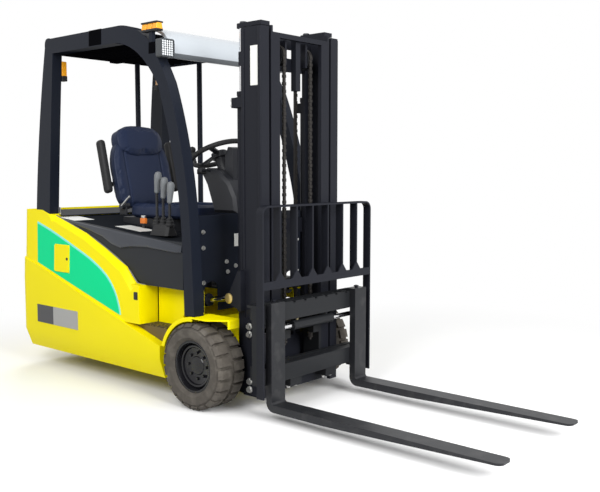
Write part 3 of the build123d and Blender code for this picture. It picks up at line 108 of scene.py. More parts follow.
def fill(tree: Tree, node: Node, inputs: Inputs) -> Node:
    """Set or link the inputs of a node.

    Args:
        tree: Node tree that holds it.
        node: The node.
        inputs: Constant, or socket to link from, for each input.

    Returns:
        The same node.
    """
    for key, value in inputs.items():
        if isinstance(value, Socket):
            tree.links.new(value, node.inputs[key])
        else:
            node.inputs[key].default_value = value
    return node


def add_node(tree: Tree, kind: str, inputs: Inputs | None = None,
             operation: str = "") -> Node:
    """Add a node to a tree.

    Args:
        tree: Node tree that takes it.
        kind: Type of the node.
        inputs: Constant, or socket to link from, for each input.
        operation: Operation of a maths node.

    Returns:
        The new node.
    """
    node = tree.nodes.new(kind)
    if operation:
        node.operation = operation
    return fill(tree, node, inputs or {})


def seen_rays(tree: Tree) -> Socket:
    """Tell the rays that show a surface from those that only light something.

    Args:
        tree: Node tree that takes the nodes.

    Returns:
        Socket that is 1 for camera, glossy and transmission rays.
    """
    path = add_node(tree, "ShaderNodeLightPath").outputs
    seen = add_node(tree, "ShaderNodeMath", {0: path["Is Camera Ray"], 1: path["Is Glossy Ray"]}, "MAXIMUM")
    clear = add_node(tree, "ShaderNodeMath", {0: seen.outputs["Value"], 1: path["Is Transmission Ray"]}, "MAXIMUM")
    return clear.outputs["Value"]


@dataclass(frozen=True)
class Finish:
    """One surface finish: colour, gloss, fine relief (strength and scale) and a second colour in patches."""

    name: str
    colour: Colour
    roughness: float = 0.4
    specular: float = 0.4
    calm: bool = False
    metallic: float = 0.0
    coat: float = 0.0
    glow: float = 0.0
    grain: tuple[float, float] | None = None
    second: Colour | None = None
    patch_scale: float = 12.0
    patch_span: tuple[float, float] = (0.45, 0.7)

    def material(self) -> bpy.types.Material:
        """Build the node material once and return it.

        Returns:
            The material with this finish's name.
        """
        found = bpy.data.materials.get(self.name)
        if found:
            return found
        made = bpy.data.materials.new(self.name)
        made.use_nodes = True
        tree = made.node_tree
        shader = fill(tree, tree.nodes["Principled BSDF"], {
            "Base Color": (*self.colour, 1), "Roughness": self.roughness, "Specular IOR Level": self.specular,
            "Metallic": self.metallic, "Coat Weight": self.coat, "Coat Roughness": COAT_ROUGHNESS,
            "Emission Color": (*self.colour, 1), "Emission Strength": self.glow})
        if self.calm:
            self._calm_edges(tree, shader)
        if self.second is not None:
            self._patches(tree, shader)
        if self.grain:
            self._relief(tree, shader)
        return made

    @staticmethod
    def _noise(tree: Tree, scale: float, detail: float) -> Socket:
        """Noise in the part's own frame.

        Args:
            tree: Node tree that takes the nodes.
            scale: Cells to the metre.
            detail: Octaves.

        Returns:
            Socket with the noise's value.
        """
        place = add_node(tree, "ShaderNodeTexCoord").outputs["Object"]
        noise = add_node(tree, "ShaderNodeTexNoise", {"Vector": place, "Scale": scale, "Detail": detail})
        return noise.outputs["Fac"]

    def _calm_edges(self, tree: Tree, shader: Node) -> None:
        """Let the gloss die away where the surface is seen edge on.

        Args:
            tree: Node tree of the material.
            shader: Its surface shader.
        """
        facing = add_node(tree, "ShaderNodeLayerWeight", {"Blend": 0.5}).outputs["Facing"]
        fall = add_node(tree, "ShaderNodeMapRange", {
            "Value": facing, "From Min": CALM_SPAN[0], "From Max": CALM_SPAN[1], "To Min": self.specular,
            "To Max": 0.0})
        fill(tree, shader, {"Specular IOR Level": fall.outputs["Result"]})

    def _patches(self, tree: Tree, shader: Node) -> None:
        """Lay the second colour over the first in soft patches.

        Args:
            tree: Node tree of the material.
            shader: Its surface shader.
        """
        ramp = add_node(tree, "ShaderNodeValToRGB", {"Fac": self._noise(tree, self.patch_scale, 6)})
        for index, colour in enumerate((self.colour, self.second)):
            ramp.color_ramp.elements[index].position = self.patch_span[index]
            ramp.color_ramp.elements[index].color = (*colour, 1)
        fill(tree, shader, {"Base Color": ramp.outputs["Color"]})

    def _relief(self, tree: Tree, shader: Node) -> None:
        """Add the fine grain as bump.

        Args:
            tree: Node tree of the material.
            shader: Its surface shader.
        """
        strength, scale = self.grain
        bump = add_node(tree, "ShaderNodeBump", {
            "Strength": strength, "Distance": BUMP_DEPTH, "Height": self._noise(tree, scale, 3)})
        fill(tree, shader, {"Normal": bump.outputs["Normal"]})


YELLOW = Finish("yellow_enamel", (0.97, 0.83, 0.0), 0.32, 0.14, calm=True, grain=(0.03, 160))
GREEN = Finish("green_panel", (0.0, 0.74, 0.29), 0.34, 0.1, calm=True)
SKY_EDGE = Finish("sky_edge", (0.25, 0.84, 0.78), 0.34, 0.25)
COVER_BLACK = Finish("cover_gloss_black", (0.018, 0.02, 0.024), 0.34, 0.16, calm=True, grain=(0.05, 900))
# Lighter, glossier copy of the cover black: painted highlight on the moulded slope of the cover's top edge.
COVER_EDGE_HIGHLIGHT = Finish("cover_edge_painted_highlight", (0.024, 0.028, 0.038), 0.3, 0.5, grain=(0.05, 900))
MAST_BLACK = Finish("mast_satin_black", (0.013, 0.014, 0.019), 0.34, 0.12, calm=True, grain=(0.04, 260))
GUARD_BLACK = Finish("guard_blue_black", (0.01, 0.0125, 0.02), 0.34, 0.12, calm=True, grain=(0.04, 260))
# Near black, darker than the guard black: the roof's own black with painted shade of its underside. The dark sheets
# in the guard's slots use it as painted shade too.
ROOF_SHADE_BLACK = Finish("roof_black_painted_shade", (0.004, 0.004, 0.005), 0.7, 0.0)
CAST_BLACK = Finish("carriage_black", (0.016, 0.017, 0.019), 0.38, 0.14, calm=True, grain=(0.1, 180))
FORK_STEEL = Finish("fork_worn_steel", (0.018, 0.019, 0.022), 0.42, metallic=0.35, grain=(0.25, 420),
                    second=(0.04, 0.04, 0.042), patch_scale=16, patch_span=(0.52, 0.78))
PLASTIC_BLACK = Finish("grained_black", (0.015, 0.016, 0.02), 0.5, grain=(0.2, 1400))
RUBBER_BLACK = Finish("moulded_rubber", (0.011, 0.011, 0.012), 0.6, grain=(0.1, 700))
GRIP_GREY = Finish("grip_grey", (0.17, 0.18, 0.19), 0.45, grain=(0.1, 1200))
HEADER_PALE = Finish("header_pale", (0.52, 0.56, 0.6), 0.2, coat=0.15)
# Dark grey for the band on the header's lower edge: painted shade of the header's underside.
HEADER_SHADE = Finish("header_shade_band_grey", (0.1, 0.11, 0.12), 0.35)
LAMP_GREY = Finish("lamp_housing", (0.05, 0.055, 0.06), 0.4)
GASKET_GREY = Finish("gasket_grey", (0.16, 0.16, 0.16), 0.55)
TREAD = Finish("grit_tread", (0.035, 0.026, 0.012), 0.75, grain=(0.8, 260),
               second=(0.5, 0.36, 0.03), patch_scale=150, patch_span=(0.56, 0.66))
RISER = Finish("riser_brown", (0.12, 0.085, 0.035), 0.6)
SEAT_NAVY = Finish("seat_navy_vinyl", (0.017, 0.025, 0.056), 0.46, 0.2, calm=True, grain=(0.25, 1500))
TYRE_GREY = Finish("tyre_grey_brown", (0.075, 0.066, 0.056), 0.82, grain=(0.3, 500),
                   second=(0.12, 0.108, 0.092), patch_scale=22)
RIM_BLACK = Finish("rim_gloss_black", (0.008, 0.008, 0.01), 0.18, 0.3)
CHROME = Finish("rod_chrome", (0.72, 0.72, 0.73), 0.12, metallic=1.0)
ZINC = Finish("zinc_bolt", (0.62, 0.62, 0.6), 0.3, metallic=0.85)
BRASS_ZINC = Finish("gold_zinc", (0.68, 0.52, 0.2), 0.32, metallic=0.85)
CHAIN_STEEL = Finish("chain_oiled", (0.035, 0.032, 0.03), 0.42, metallic=0.6)
LABEL_WHITE = Finish("label_white", (0.86, 0.86, 0.82), 0.45)
PLATE_DARK = Finish("plate_dark", (0.05, 0.05, 0.055), 0.4)
PLATE_GREY = Finish("plate_grey", (0.38, 0.38, 0.37), 0.4)
AMBER = Finish("amber_lens", (0.85, 0.33, 0.002), 0.2, 0.1, calm=True, glow=0.08)
PANEL_GREY = Finish("lamp_panel", (0.3, 0.33, 0.36), 0.3)
LENS_CLEAR = Finish("led_lens", (0.75, 0.78, 0.8), 0.12, coat=0.4)
HOSE_BLACK = Finish("hose_black", (0.014, 0.014, 0.016), 0.55, grain=(0.2, 1600))
HOSE_TAN = Finish("hose_tan", (0.33, 0.28, 0.16), 0.5)
ORANGE_CAP = Finish("buckle_orange", (0.75, 0.2, 0.03), 0.4)
BATTERY_GREY = Finish("battery_case", (0.09, 0.1, 0.11), 0.5)


def centre(node: str) -> Vector:
    """Middle of a node's box at rest."""
    low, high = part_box(node)
    return (low + high) / 2


AXLE = centre("drive_units")


def ahead(x: float, y: float, z: float) -> Vector:
    """Point measured from above or below the front axle, in millimetres.

    Args:
        x: Forward of the front axle.
        y: To the left of the truck's middle.
        z: Above the floor.

    Returns:
        The point in the row frame, in metres.
    """
    return Vector((AXLE.x + x / 1000, y / 1000, z / 1000))


def dress(finish: Finish, *names: str, edge: float = 0.0015) -> None:
    """Give CAD nodes their finish and a small edge radius.

    Args:
        finish: Finish of the nodes.
        *names: Nodes of the frame.
        edge: Radius on sharp edges, in metres, or 0 for none.
    """
    for name in names:
        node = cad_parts[name]
        node.data.materials.clear()
        node.data.materials.append(finish.material())
        if edge:
            node.modifiers.new("join", "WELD").merge_threshold = WELD_GAP
            bevel = node.modifiers.new("edge", "BEVEL")
            bevel.width = edge
            bevel.segments = 2
            bevel.limit_method = "ANGLE"
            bevel.angle_limit = SHARP_ANGLE
            node.modifiers.new("shade", "WEIGHTED_NORMAL")
        LOG.info("dressed %s", name)


def add_piece(name: str, mesh: BMesh | bpy.types.Mesh, finish: Finish, body: Body = Body.TRUCK) -> Object:
    """Turn a mesh into a shown piece that rides on a body.

    Args:
        name: Name of the piece.
        mesh: Its mesh, in the row frame.
        finish: Its finish.
        body: Body that carries it.

    Returns:
        The new object.
    """
    if isinstance(mesh, BMesh):
        data = bpy.data.meshes.new(name)
        bmesh.ops.recalc_face_normals(mesh, faces=mesh.faces)
        mesh.to_mesh(data)
        mesh.free()
    else:
        data = mesh
        data.name = name
    data.shade_smooth()
    data.set_sharp_from_angle(angle=SHARP_ANGLE)
    data.materials.clear()
    data.materials.append(finish.material())
    piece = bpy.data.objects.new(name, data)
    bpy.context.scene.collection.objects.link(piece)
    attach(piece, body.value)
    LOG.info("piece %s: %d faces on %s", name, len(data.polygons), body.value)
    return piece


def add_box(bm: BMesh, low: Point, high: Point, bevel: float = 0.0) -> list[bmesh.types.BMVert]:
    """Add a straight block with rounded edges.

    Args:
        bm: Mesh that takes it.
        low: Lowest corner.
        high: Highest corner.
        bevel: Edge radius.

    Returns:
        The block's vertices before rounding.
    """
    size = Vector(high) - Vector(low)
    place = Matrix.Translation((Vector(high) + Vector(low)) / 2) @ Matrix.Diagonal((*size, 1))
    verts = bmesh.ops.create_cube(bm, size=1, matrix=place)["verts"]
    if bevel:
        edges = list({edge for vert in verts for edge in vert.link_edges})
        bmesh.ops.bevel(bm, geom=edges, offset=bevel, segments=3, affect="EDGES", profile=0.5)
    return verts


def add_pair(bm: BMesh, low: Point, high: Point, bevel: float = 0.0) -> None:
    """Add a block on the left of the truck and its mirror image on the right.

    Args:
        bm: Mesh that takes them.
        low: Lowest corner on the left, in millimetres from the front axle.
        high: Highest corner on the left.
        bevel: Edge radius, in metres.
    """
    for side, _ in SIDES:
        near, far = sorted((side * low[1], side * high[1]))
        add_box(bm, ahead(low[0], near, low[2]), ahead(high[0], far, high[2]), bevel)


def add_rod(bm: BMesh, start: Point, end: Point, radius: float, end_radius: float | None = None,
            sides: int = 20) -> None:
    """Add a round or many-sided bar between two points.

    Args:
        bm: Mesh that takes it.
        start: One end.
        end: Other end.
        radius: Radius at the start.
        end_radius: Radius at the end, if it differs.
        sides: Number of sides.
    """
    first, last = Vector(start), Vector(end)
    run = last - first
    place = Matrix.Translation((first + last) / 2) @ run.to_track_quat("Z", "Y").to_matrix().to_4x4()
    bmesh.ops.create_cone(bm, cap_ends=True, segments=sides, radius1=radius,
                          radius2=radius if end_radius is None else end_radius, depth=run.length, matrix=place)


def add_bolt(bm: BMesh, at: Point, axis: Point, across: float) -> None:
    """Add a hexagon head on its washer.

    Args:
        bm: Mesh that takes it.
        at: Point on the surface.
        axis: Direction out of the surface.
        across: Width of the head.
    """
    base, out = Vector(at), Vector(axis).normalized()
    washer = across * 0.14
    add_rod(bm, base - out * washer, base + out * washer, across * 0.72)
    add_rod(bm, base + out * washer, base + out * across * 0.6, across * 0.56, across * 0.52, sides=6)


def add_skin(bm: BMesh, rings: Sequence[Sequence[Point]], closed: bool = False) -> None:
    """Join rings of points into a tube.

    Args:
        bm: Mesh that takes it.
        rings: Points of each ring, the same number in all.
        closed: Whether the last ring leads back to the first. If not, both ends are shut.
    """
    made = [[bm.verts.new(point) for point in ring] for ring in rings]
    onward = made[1:] + made[:1] if closed else made[1:]
    for first, last in zip(made, onward):
        for index in range(len(first)):
            after = (index + 1) % len(first)
            bm.faces.new((first[index], first[after], last[after], last[index]))
    if not closed:
        bm.faces.new(made[0][::-1])
        bm.faces.new(made[-1])


def circle(steps: int) -> list[float]:
    """Equal turns round a circle, in radians."""
    return [2 * math.pi * index / steps for index in range(steps)]


def add_lathe(bm: BMesh, at: Point, axis: Point, profile: Pairs, steps: int = 24) -> None:
    """Turn a profile about an axis.

    Args:
        bm: Mesh that takes it.
        at: Origin on the axis.
        axis: Direction of the axis.
        profile: Radius and height of each point, with flat ends at its first and last points.
        steps: Number of facets round the axis.
    """
    place = Matrix.Translation(Vector(at)) @ Vector(axis).to_track_quat("Z", "Y").to_matrix().to_4x4()
    add_skin(bm, [[place @ Vector((radius * math.cos(turn), radius * math.sin(turn), height))
                   for turn in circle(steps)] for radius, height in profile])


def add_hose(name: str, route: Sequence[Point], radius: float, finish: Finish, body: Body = Body.TRUCK) -> None:
    """Add a round hose or strip along a smooth route, as a piece.

    Args:
        name: Name of the piece.
        route: Control points of the route.
        radius: Radius of the hose.
        finish: Its finish.
        body: Body that carries it.
    """
    curve = bpy.data.curves.new(name + "_route", "CURVE")
    curve.dimensions = "3D"
    spline = curve.splines.new("NURBS")
    spline.points.add(len(route) - 1)
    for control, at in zip(spline.points, route):
        control.co = (*at, 1)
    spline.order_u = 3
    spline.use_endpoint_u = True
    curve.resolution_u = 6
    curve.bevel_depth = radius
    curve.bevel_resolution = 3
    curve.use_fill_caps = True
    holder = bpy.data.objects.new(name + "_route", curve)
    bpy.context.scene.collection.objects.link(holder)
    depsgraph = bpy.context.evaluated_depsgraph_get()
    mesh = bpy.data.meshes.new_from_object(holder.evaluated_get(depsgraph))
    bpy.data.objects.remove(holder)
    add_piece(name, mesh, finish, body)


@dataclass
class BodyShell:
    """Yellow body: counterweight, side walls, fenders and what is painted or fixed on them.

    Outlines on the flanks are distances ahead of the front axle and heights, in metres.
    """

    waist_z: float = 0.56
    lean: float = math.radians(2.2)
    ridge_inset: float = 0.007
    film: float = 0.0007
    edge_film: float = 0.00098
    plate_film: float = 0.003
    pocket_film: float = 0.00015
    band_top: Pairs = ((-1.492, 0.914), (-1.314, 0.862), (-1.08, 0.782), (-0.9, 0.715), (-0.76, 0.64), (-0.68, 0.56),
                       (-0.642, 0.48), (-0.63, 0.428))
    band_low: tuple[float, float] = (-1.485, 0.668)
    edge_width: float = 0.013
    flap_gap: float = 0.003
    pocket_rim: float = 0.014
    plate_x: tuple[float, float, float] = (-1.484, -1.302, -1.038)
    plate_z: tuple[float, float] = (0.288, 0.4)
    shoulder: Pairs = ((-1322, 967), (-998, 874), (-799, 792), (-610, 703), (-524, 618), (-500, 613), (-452, 612))
    gasket_r: float = 0.0045
    gasket_gap: float = 0.0015

    def __post_init__(self) -> None:
        """Read the body's half width from the frame."""
        self.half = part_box("counterweight")[1].y

    def on_side(self, along: float, z: float, side: int, out: float, inset: float) -> Vector:
        """Point on the body's flank.

        Args:
            along: Distance ahead of the front axle, in metres.
            z: Height in metres.
            side: -1 for the right flank, 1 for the left.
            out: Distance proud of the paint.
            inset: How far the flank is set in there.

        Returns:
            The point in the row frame.
        """
        lean_in = max(0.0, z - self.waist_z) * math.tan(self.lean)
        return Vector((AXLE.x + along, side * (self.half - inset - lean_in + out), z))

    def film_piece(self, name: str, outline: Sequence[tuple[float, float]], finish: Finish, side: int,
                   lift: float, inset: float, hole: Sequence[float] = ()) -> None:
        """Thin painted or stuck-on shape that follows the flank.

        Args:
            name: Name of the piece.
            outline: Corners as distance ahead of the axle and height, in metres.
            finish: Its finish.
            side: Flank that carries it.
            lift: Height above the paint.
            inset: How far the flank is set in there.
            hole: Rear, front, low and high edge of an opening to leave free, in metres.
        """
        bm = bmesh.new()
        bm.faces.new([bm.verts.new((x, 0, z)) for x, z in outline])
        cuts = [((0, 0, self.waist_z), UP)]
        if hole:
            cuts += [((x, 0, 0), (1, 0, 0)) for x in hole[:2]] + [((0, 0, z), UP) for z in hole[2:]]
        for point, normal in cuts:
            bmesh.ops.bisect_plane(bm, geom=bm.verts[:] + bm.edges[:] + bm.faces[:], plane_co=point, plane_no=normal)
        if hole:
            spots = [(face, face.calc_center_median()) for face in bm.faces]
            free = [face for face, at in spots if hole[0] < at.x < hole[1] and hole[2] < at.z < hole[3]]
            bmesh.ops.delete(bm, geom=free, context="FACES")
        made = bmesh.ops.extrude_face_region(bm, geom=bm.faces[:])
        proud = {v for v in made["geom"] if isinstance(v, bmesh.types.BMVert)}
        for vert in bm.verts:
            out = lift if vert in proud else -self.film
            vert.co = self.on_side(vert.co.x, vert.co.z, side, out, inset)
        add_piece(name, bm, finish)

    @staticmethod
    def rectangle(rear: float, front: float, low: float, high: float) -> list[tuple[float, float]]:
        """Corners of an upright rectangle on a flank."""
        return [(rear, low), (front, low), (front, high), (rear, high)]

    @staticmethod
    def flap_span(grow: float) -> tuple[float, float, float, float]:
        """Rear, front, low and high edge of the charging flap, moved outwards by a distance."""
        low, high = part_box("charge_flap")
        return low.x - AXLE.x - grow, high.x - AXLE.x + grow, low.z - grow, high.z + grow

    def build_band(self, side: int, name: str) -> None:
        """Green panel with its pale blue upper edge.

        Args:
            side: Flank that carries it.
            name: Name of that side.
        """
        smooth = self.rounded(self.band_top)
        outer = []
        for index, point in enumerate(smooth):
            before, after = smooth[max(index - 1, 0)], smooth[min(index + 1, len(smooth) - 1)]
            run = Vector((after[0] - before[0], after[1] - before[1])).normalized()
            outer.append((point[0] - run.y * self.edge_width, point[1] + run.x * self.edge_width))
        hole = self.flap_span(self.flap_gap) if side < 0 else ()
        self.film_piece(f"green_panel_{name}", [*smooth, self.band_low], GREEN, side, self.film,
                        self.ridge_inset, hole)
        self.film_piece(f"panel_edge_{name}", smooth + outer[::-1], SKY_EDGE, side, self.edge_film, self.ridge_inset)

    @staticmethod
    def rounded(points: Pairs, steps: int = 6) -> list[tuple[float, float]]:
        """Smooth curve through corner points.

        Args:
            points: Points that the curve passes.
            steps: Points on each stretch.

        Returns:
            The finer list of points.
        """
        made = []
        for index in range(len(points) - 1):
            p0, p1 = Vector(points[max(index - 1, 0)]), Vector(points[index])
            p2, p3 = Vector(points[index + 1]), Vector(points[min(index + 2, len(points) - 1)])
            for step in range(steps):
                t = step / steps
                at = 0.5 * (2 * p1 + (p2 - p0) * t + (2 * p0 - 5 * p1 + 4 * p2 - p3) * t ** 2
                            + (3 * p1 - p0 - 3 * p2 + p3) * t ** 3)
                made.append((at.x, at.y))
        made.append(points[-1])
        return made

    def build_plate(self) -> None:
        """Blank two-tone plate low on the right flank."""
        rear, split, front = self.plate_x
        for name, span, finish in (("plate_dark", (rear, split), PLATE_DARK),
                                   ("plate_grey", (split, front), PLATE_GREY)):
            self.film_piece(name, self.rectangle(*span, *self.plate_z), finish, -1, self.plate_film, 0)

    def build_flap_lock(self) -> None:
        """Dark pocket behind the charging flap, and the lock barrel on the flap's front edge."""
        pocket = self.rectangle(*self.flap_span(-self.pocket_rim))
        self.film_piece("charge_pocket", pocket, RUBBER_BLACK, -1, self.pocket_film, self.ridge_inset)
        low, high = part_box("charge_flap")
        bm = bmesh.new()
        at = Vector((high.x - 0.016, low.y + 0.004, (low.z + high.z) / 2))
        add_lathe(bm, at, (0, -1, 0), ((0.009, -0.004), (0.009, 0.003), (0.006, 0.005), (0.001, 0.005)), 20)
        add_piece("flap_lock", bm, RUBBER_BLACK, Body.FLAP)

    def build_fittings(self) -> None:
        """Latches where the cover meets the step walls, and the pin across the tow slot."""
        latches, pin = bmesh.new(), bmesh.new()
        add_pair(latches, (-494, 484, 530), (-462, 508, 574), 0.004)
        add_piece("cover_latches", latches, RUBBER_BLACK)
        add_rod(pin, ahead(-1652, 0, 326), ahead(-1652, 0, 404), 0.014)
        add_piece("tow_pin", pin, MAST_BLACK)

    def build_gasket(self) -> None:
        """Grey sealing strip in the joint between the yellow shell and the black cover."""
        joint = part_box("seat_hood")[1].y + self.gasket_gap
        for side, name in SIDES:
            route = [ahead(x, 0, z) + Vector((0, side * joint, 0)) for x, z in self.shoulder]
            add_hose(f"cover_gasket_{name}", route, self.gasket_r, GASKET_GREY)

    def build_risers(self) -> None:
        """Dark facing of the step risers."""
        low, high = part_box("step_treads")
        bm = bmesh.new()
        for side, _ in SIDES:
            first, last = sorted((side * (high.y - 0.001), side * (high.y + 0.0006)))
            add_box(bm, (low.x, first, low.z), (high.x, last, high.z - 0.009))
        add_piece("step_risers", bm, RISER)

    def build(self) -> None:
        """Dress the body and add its pieces."""
        dress(YELLOW, "counterweight", "side_walls", edge=0.005)
        dress(YELLOW, "chassis", "fenders", "charge_flap", edge=0.002)
        dress(TREAD, "step_treads", edge=0.001)
        dress(BATTERY_GREY, "battery")
        for side, name in SIDES:
            self.build_band(side, name)
        self.build_plate()
        self.build_flap_lock()
        self.build_fittings()
        self.build_gasket()
        self.build_risers()


@dataclass
class CoverDeck:
    """Black cover, cab floor and bulkhead with their labels and bolts."""

    deck_ends: Pairs = ((-330, 872), (-1342, 958))
    labels: Spans = ((-850, -610, -362, -248), (-1330, -1150, -440, -300))
    label_thick: float = 0.0012
    label_sunk: float = 0.001
    moulding: Triples = (
        (-1215, 9, 3), (-1000, 24, 9), (-830, 48, 15), (-740, 78, 19), (-660, 88, 20), (-560, 66, 19), (-430, 50, 18),
        (-180, 44, 16), (-136, 38, 8))
    moulding_sunk: float = 4
    bolt_across: float = 0.017
    bulkhead_bolts: Pairs = ((374, 922), (374, 837), (374, 650), (205, 751), (197, 695), (136, 723))
    rear_edges: Pairs = ((-1424, 996.5), (-1313, 965.0))
    rear_half: float = 422
    rear_faces: tuple[float, float] = (-3, 2.5)

    def __post_init__(self) -> None:
        """Read the bulkhead's front face from the frame, in millimetres ahead of the axle."""
        self.face_x = (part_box("bulkhead")[1].x - AXLE.x) * 1000

    def deck_height(self, x: float) -> float:
        """Height of the cover's sloping top at a station, both in millimetres."""
        (front, low), (rear, high) = self.deck_ends
        return low + (high - low) * (front - x) / (front - rear)

    def build_labels(self) -> None:
        """Blank pale labels on the deck and the bulkhead."""
        bm = bmesh.new()
        for rear, front, right, left in self.labels:
            for vert in add_box(bm, ahead(rear, right, -1), ahead(front, left, 1)):
                deck = self.deck_height((vert.co.x - AXLE.x) * 1000) / 1000
                vert.co.z = deck + (self.label_thick if vert.co.z > 0 else -self.label_sunk)
        add_box(bm, ahead(self.face_x - 1, -144, 831), ahead(self.face_x + 1.2, -92, 901))
        add_piece("blank_labels", bm, LABEL_WHITE)

    def build_shoulder(self) -> None:
        """Moulded slope along each top edge of the cover, in a lighter slate that paints the highlight along that
        edge.
        """
        side_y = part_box("seat_hood")[1].y * 1000
        for side, name in SIDES:
            bm = bmesh.new()
            rings = []
            for x, drop, out in self.moulding:
                top = self.deck_height(x) - 3
                ring = ((-self.moulding_sunk, top), (out * 0.35, top - drop * 0.12), (out, top - drop * 0.8),
                        (out * 0.8, top - drop), (-self.moulding_sunk, top - drop - 6))
                rings.append([ahead(x, side * (side_y + y), z) for y, z in ring])
            add_skin(bm, rings)
            add_piece(f"cover_moulding_{name}", bm, COVER_EDGE_HIGHLIGHT)

    def build_bolts(self) -> None:
        """Shiny bolts of the bulkhead."""
        bm = bmesh.new()
        for y, z in self.bulkhead_bolts:
            for side, _ in SIDES:
                add_bolt(bm, ahead(self.face_x, side * y, z), (1, 0, 0), self.bolt_across)
        add_piece("bulkhead_bolts", bm, ZINC)

    def build_rear(self) -> None:
        """Cover's raised rear end, laid on the slope of the counterweight."""
        bm = bmesh.new()
        for vert in add_box(bm, (-1, -self.rear_half, -1), (1, self.rear_half, 1)):
            x, z = self.rear_edges[vert.co.x > 0]
            vert.co = ahead(x, vert.co.y, z + self.rear_faces[vert.co.z > 0])
        add_piece("cover_rear", bm, COVER_BLACK)

    def build_buckle(self) -> None:
        """Belt buckle on its stalk beside the seat, with the tongue in it."""
        at = ahead(-719, -252, 0)
        for name, low, high, half, finish in (("stalk", 0.894, 0.938, 0.007, RUBBER_BLACK),
                                              ("case", 0.934, 0.966, 0.014, ORANGE_CAP),
                                              ("tongue", 0.964, 0.982, 0.01, ZINC)):
            bm = bmesh.new()
            wide = Vector((half * 1.6, half * 0.7, 0))
            add_box(bm, at - wide + UP * low, at + wide + UP * high, 0.003)
            add_piece(f"buckle_{name}", bm, finish)

    def build(self) -> None:
        """Dress the cover, floor and bulkhead."""
        dress(COVER_BLACK, "seat_hood", edge=0.006)
        dress(GUARD_BLACK, "bulkhead")
        dress(RUBBER_BLACK, "floor_plate", "pedals")
        self.build_labels()
        self.build_bolts()
        self.build_rear()
        self.build_buckle()
        self.build_shoulder()


@dataclass
class OverheadGuard:
    """Guard frame, roof, header, posts and lamps."""

    led_rows: int = 7
    led_columns: int = 5
    led_pitch: tuple[float, float] = (0.0152, 0.0116)
    led_depth: float = 0.0045
    led_cell: Pairs = ((0.0054, 0), (0.0054, 0.002), (0.0036, 0.003), (0.0005, 0.0034))
    lamp_width: float = 0.092
    panel_half: float = 0.0395
    panel_rim: float = 0.0065
    lean: float = math.radians(1.65)
    slot_spans: Spans = ((-382, -330, 1872, 1932), (-935, -815, 1965, 2054))
    slot_faces: tuple[float, float] = (-0.002, 0.0012)

    def build_lamps(self) -> None:
        """Rows of light cells on pale panels behind the bezels of the work lamps."""
        low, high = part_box("work_lamps")
        cells, panels = bmesh.new(), bmesh.new()
        for side, _ in SIDES:
            middle = side * (high.y - self.lamp_width / 2)
            for row in range(self.led_rows):
                for column in range(self.led_columns):
                    y = middle + (column - (self.led_columns - 1) / 2) * self.led_pitch[0]
                    z = (low.z + high.z) / 2 + (row - (self.led_rows - 1) / 2) * self.led_pitch[1]
                    add_lathe(cells, (high.x - self.led_depth, y, z), (1, 0, 0), self.led_cell, 12)
            add_box(panels, (high.x - 0.006, middle - self.panel_half, low.z + self.panel_rim),
                    (high.x - 0.0042, middle + self.panel_half, high.z - self.panel_rim))
        add_piece("lamp_cells", cells, LENS_CLEAR)
        add_piece("lamp_panels", panels, PANEL_GREY)

    def build_tail_housings(self) -> None:
        """Black lower halves of the rear marker lamps."""
        bm = bmesh.new()
        add_pair(bm, (-1361.5, 356, 1799), (-1318.5, 393, 1832), 0.003)
        add_piece("tail_lamp_housings", bm, RUBBER_BLACK)

    def build_slots(self) -> None:
        """Slots and sleeves of the guard frame as dark sheets, which paint the shade in them, and small brackets at
        the rear feet.
        """
        slots, brackets = bmesh.new(), bmesh.new()
        guard_low, guard_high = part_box("guard_sides")
        for side, _ in SIDES:
            for rear, front, low, high in self.slot_spans:
                # Thin near-black sheets on the guard's outer face: painted shade of the slots.
                for vert in add_box(slots, ahead(rear, -1, low), ahead(front, 1, high)):
                    outer = guard_high.y - (vert.co.z - guard_low.z) * math.tan(self.lean)
                    vert.co.y = side * (outer + self.slot_faces[vert.co.y > 0])
        add_pair(brackets, (-1349, 425, 972), (-1322, 429, 1018), 0.001)
        add_piece("pillar_slot_shade", slots, ROOF_SHADE_BLACK)
        add_piece("foot_brackets", brackets, ZINC)

    def build_header_shade_band(self) -> None:
        """Dark band on the header's lower edge: painted shade of the header's underside."""
        low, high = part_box("guard_header")
        bm = bmesh.new()
        add_box(bm, (high.x - 0.015, low.y + 0.0005, low.z - 0.0006),
                (high.x + 0.0008, high.y - 0.0005, low.z + 0.026), 0.0005)
        add_piece("header_shade_band", bm, HEADER_SHADE)

    def build_beacon_base(self) -> None:
        """Dark foot and lid of the beacon bar."""
        bm = bmesh.new()
        add_box(bm, ahead(-437, -468.5, 2030), ahead(-303, -421.5, 2039), 0.003)
        add_box(bm, ahead(-436, -468, 1989), ahead(-304, -422, 2001), 0.003)
        add_piece("beacon_base", bm, RUBBER_BLACK)

    def build(self) -> None:
        """Dress the guard and light its lamps."""
        dress(GUARD_BLACK, "guard_sides", edge=0.009)
        # Roof darkened past the guard black: painted shade of its underside.
        dress(ROOF_SHADE_BLACK, "guard_roof")
        dress(GUARD_BLACK, "guard_posts")
        dress(HEADER_PALE, "guard_header", edge=0.003)
        dress(LAMP_GREY, "work_lamps", edge=0.003)
        dress(AMBER, "signal_lamps", edge=0.004)
        self.build_lamps()
        self.build_tail_housings()
        self.build_header_shade_band()
        self.build_slots()
        self.build_beacon_base()


@dataclass(frozen=True)
class Pad:
    """Form of one stuffed pad, its front face along +Z and its far end along +Y.

    Attributes:
        name: Name of the piece.
        size: Full width, length and thickness.
        taper: Share of the width lost at the far end.
        bow: How far the front face hollows in the middle.
        seams: Sewn channels, each by the axis that it stays at one place on, and that place.
        lift: How far the far end rises.
        rounding: Share taken off the corners of the near and the far end.
        replaced: Node that it stands for, if any.
    """

    name: str
    size: Point
    taper: float
    bow: float = 0.0
    seams: tuple[tuple[int, float], ...] = ()
    lift: float = 0.0
    rounding: tuple[float, float] = (0.0, 0.0)
    replaced: str | None = None


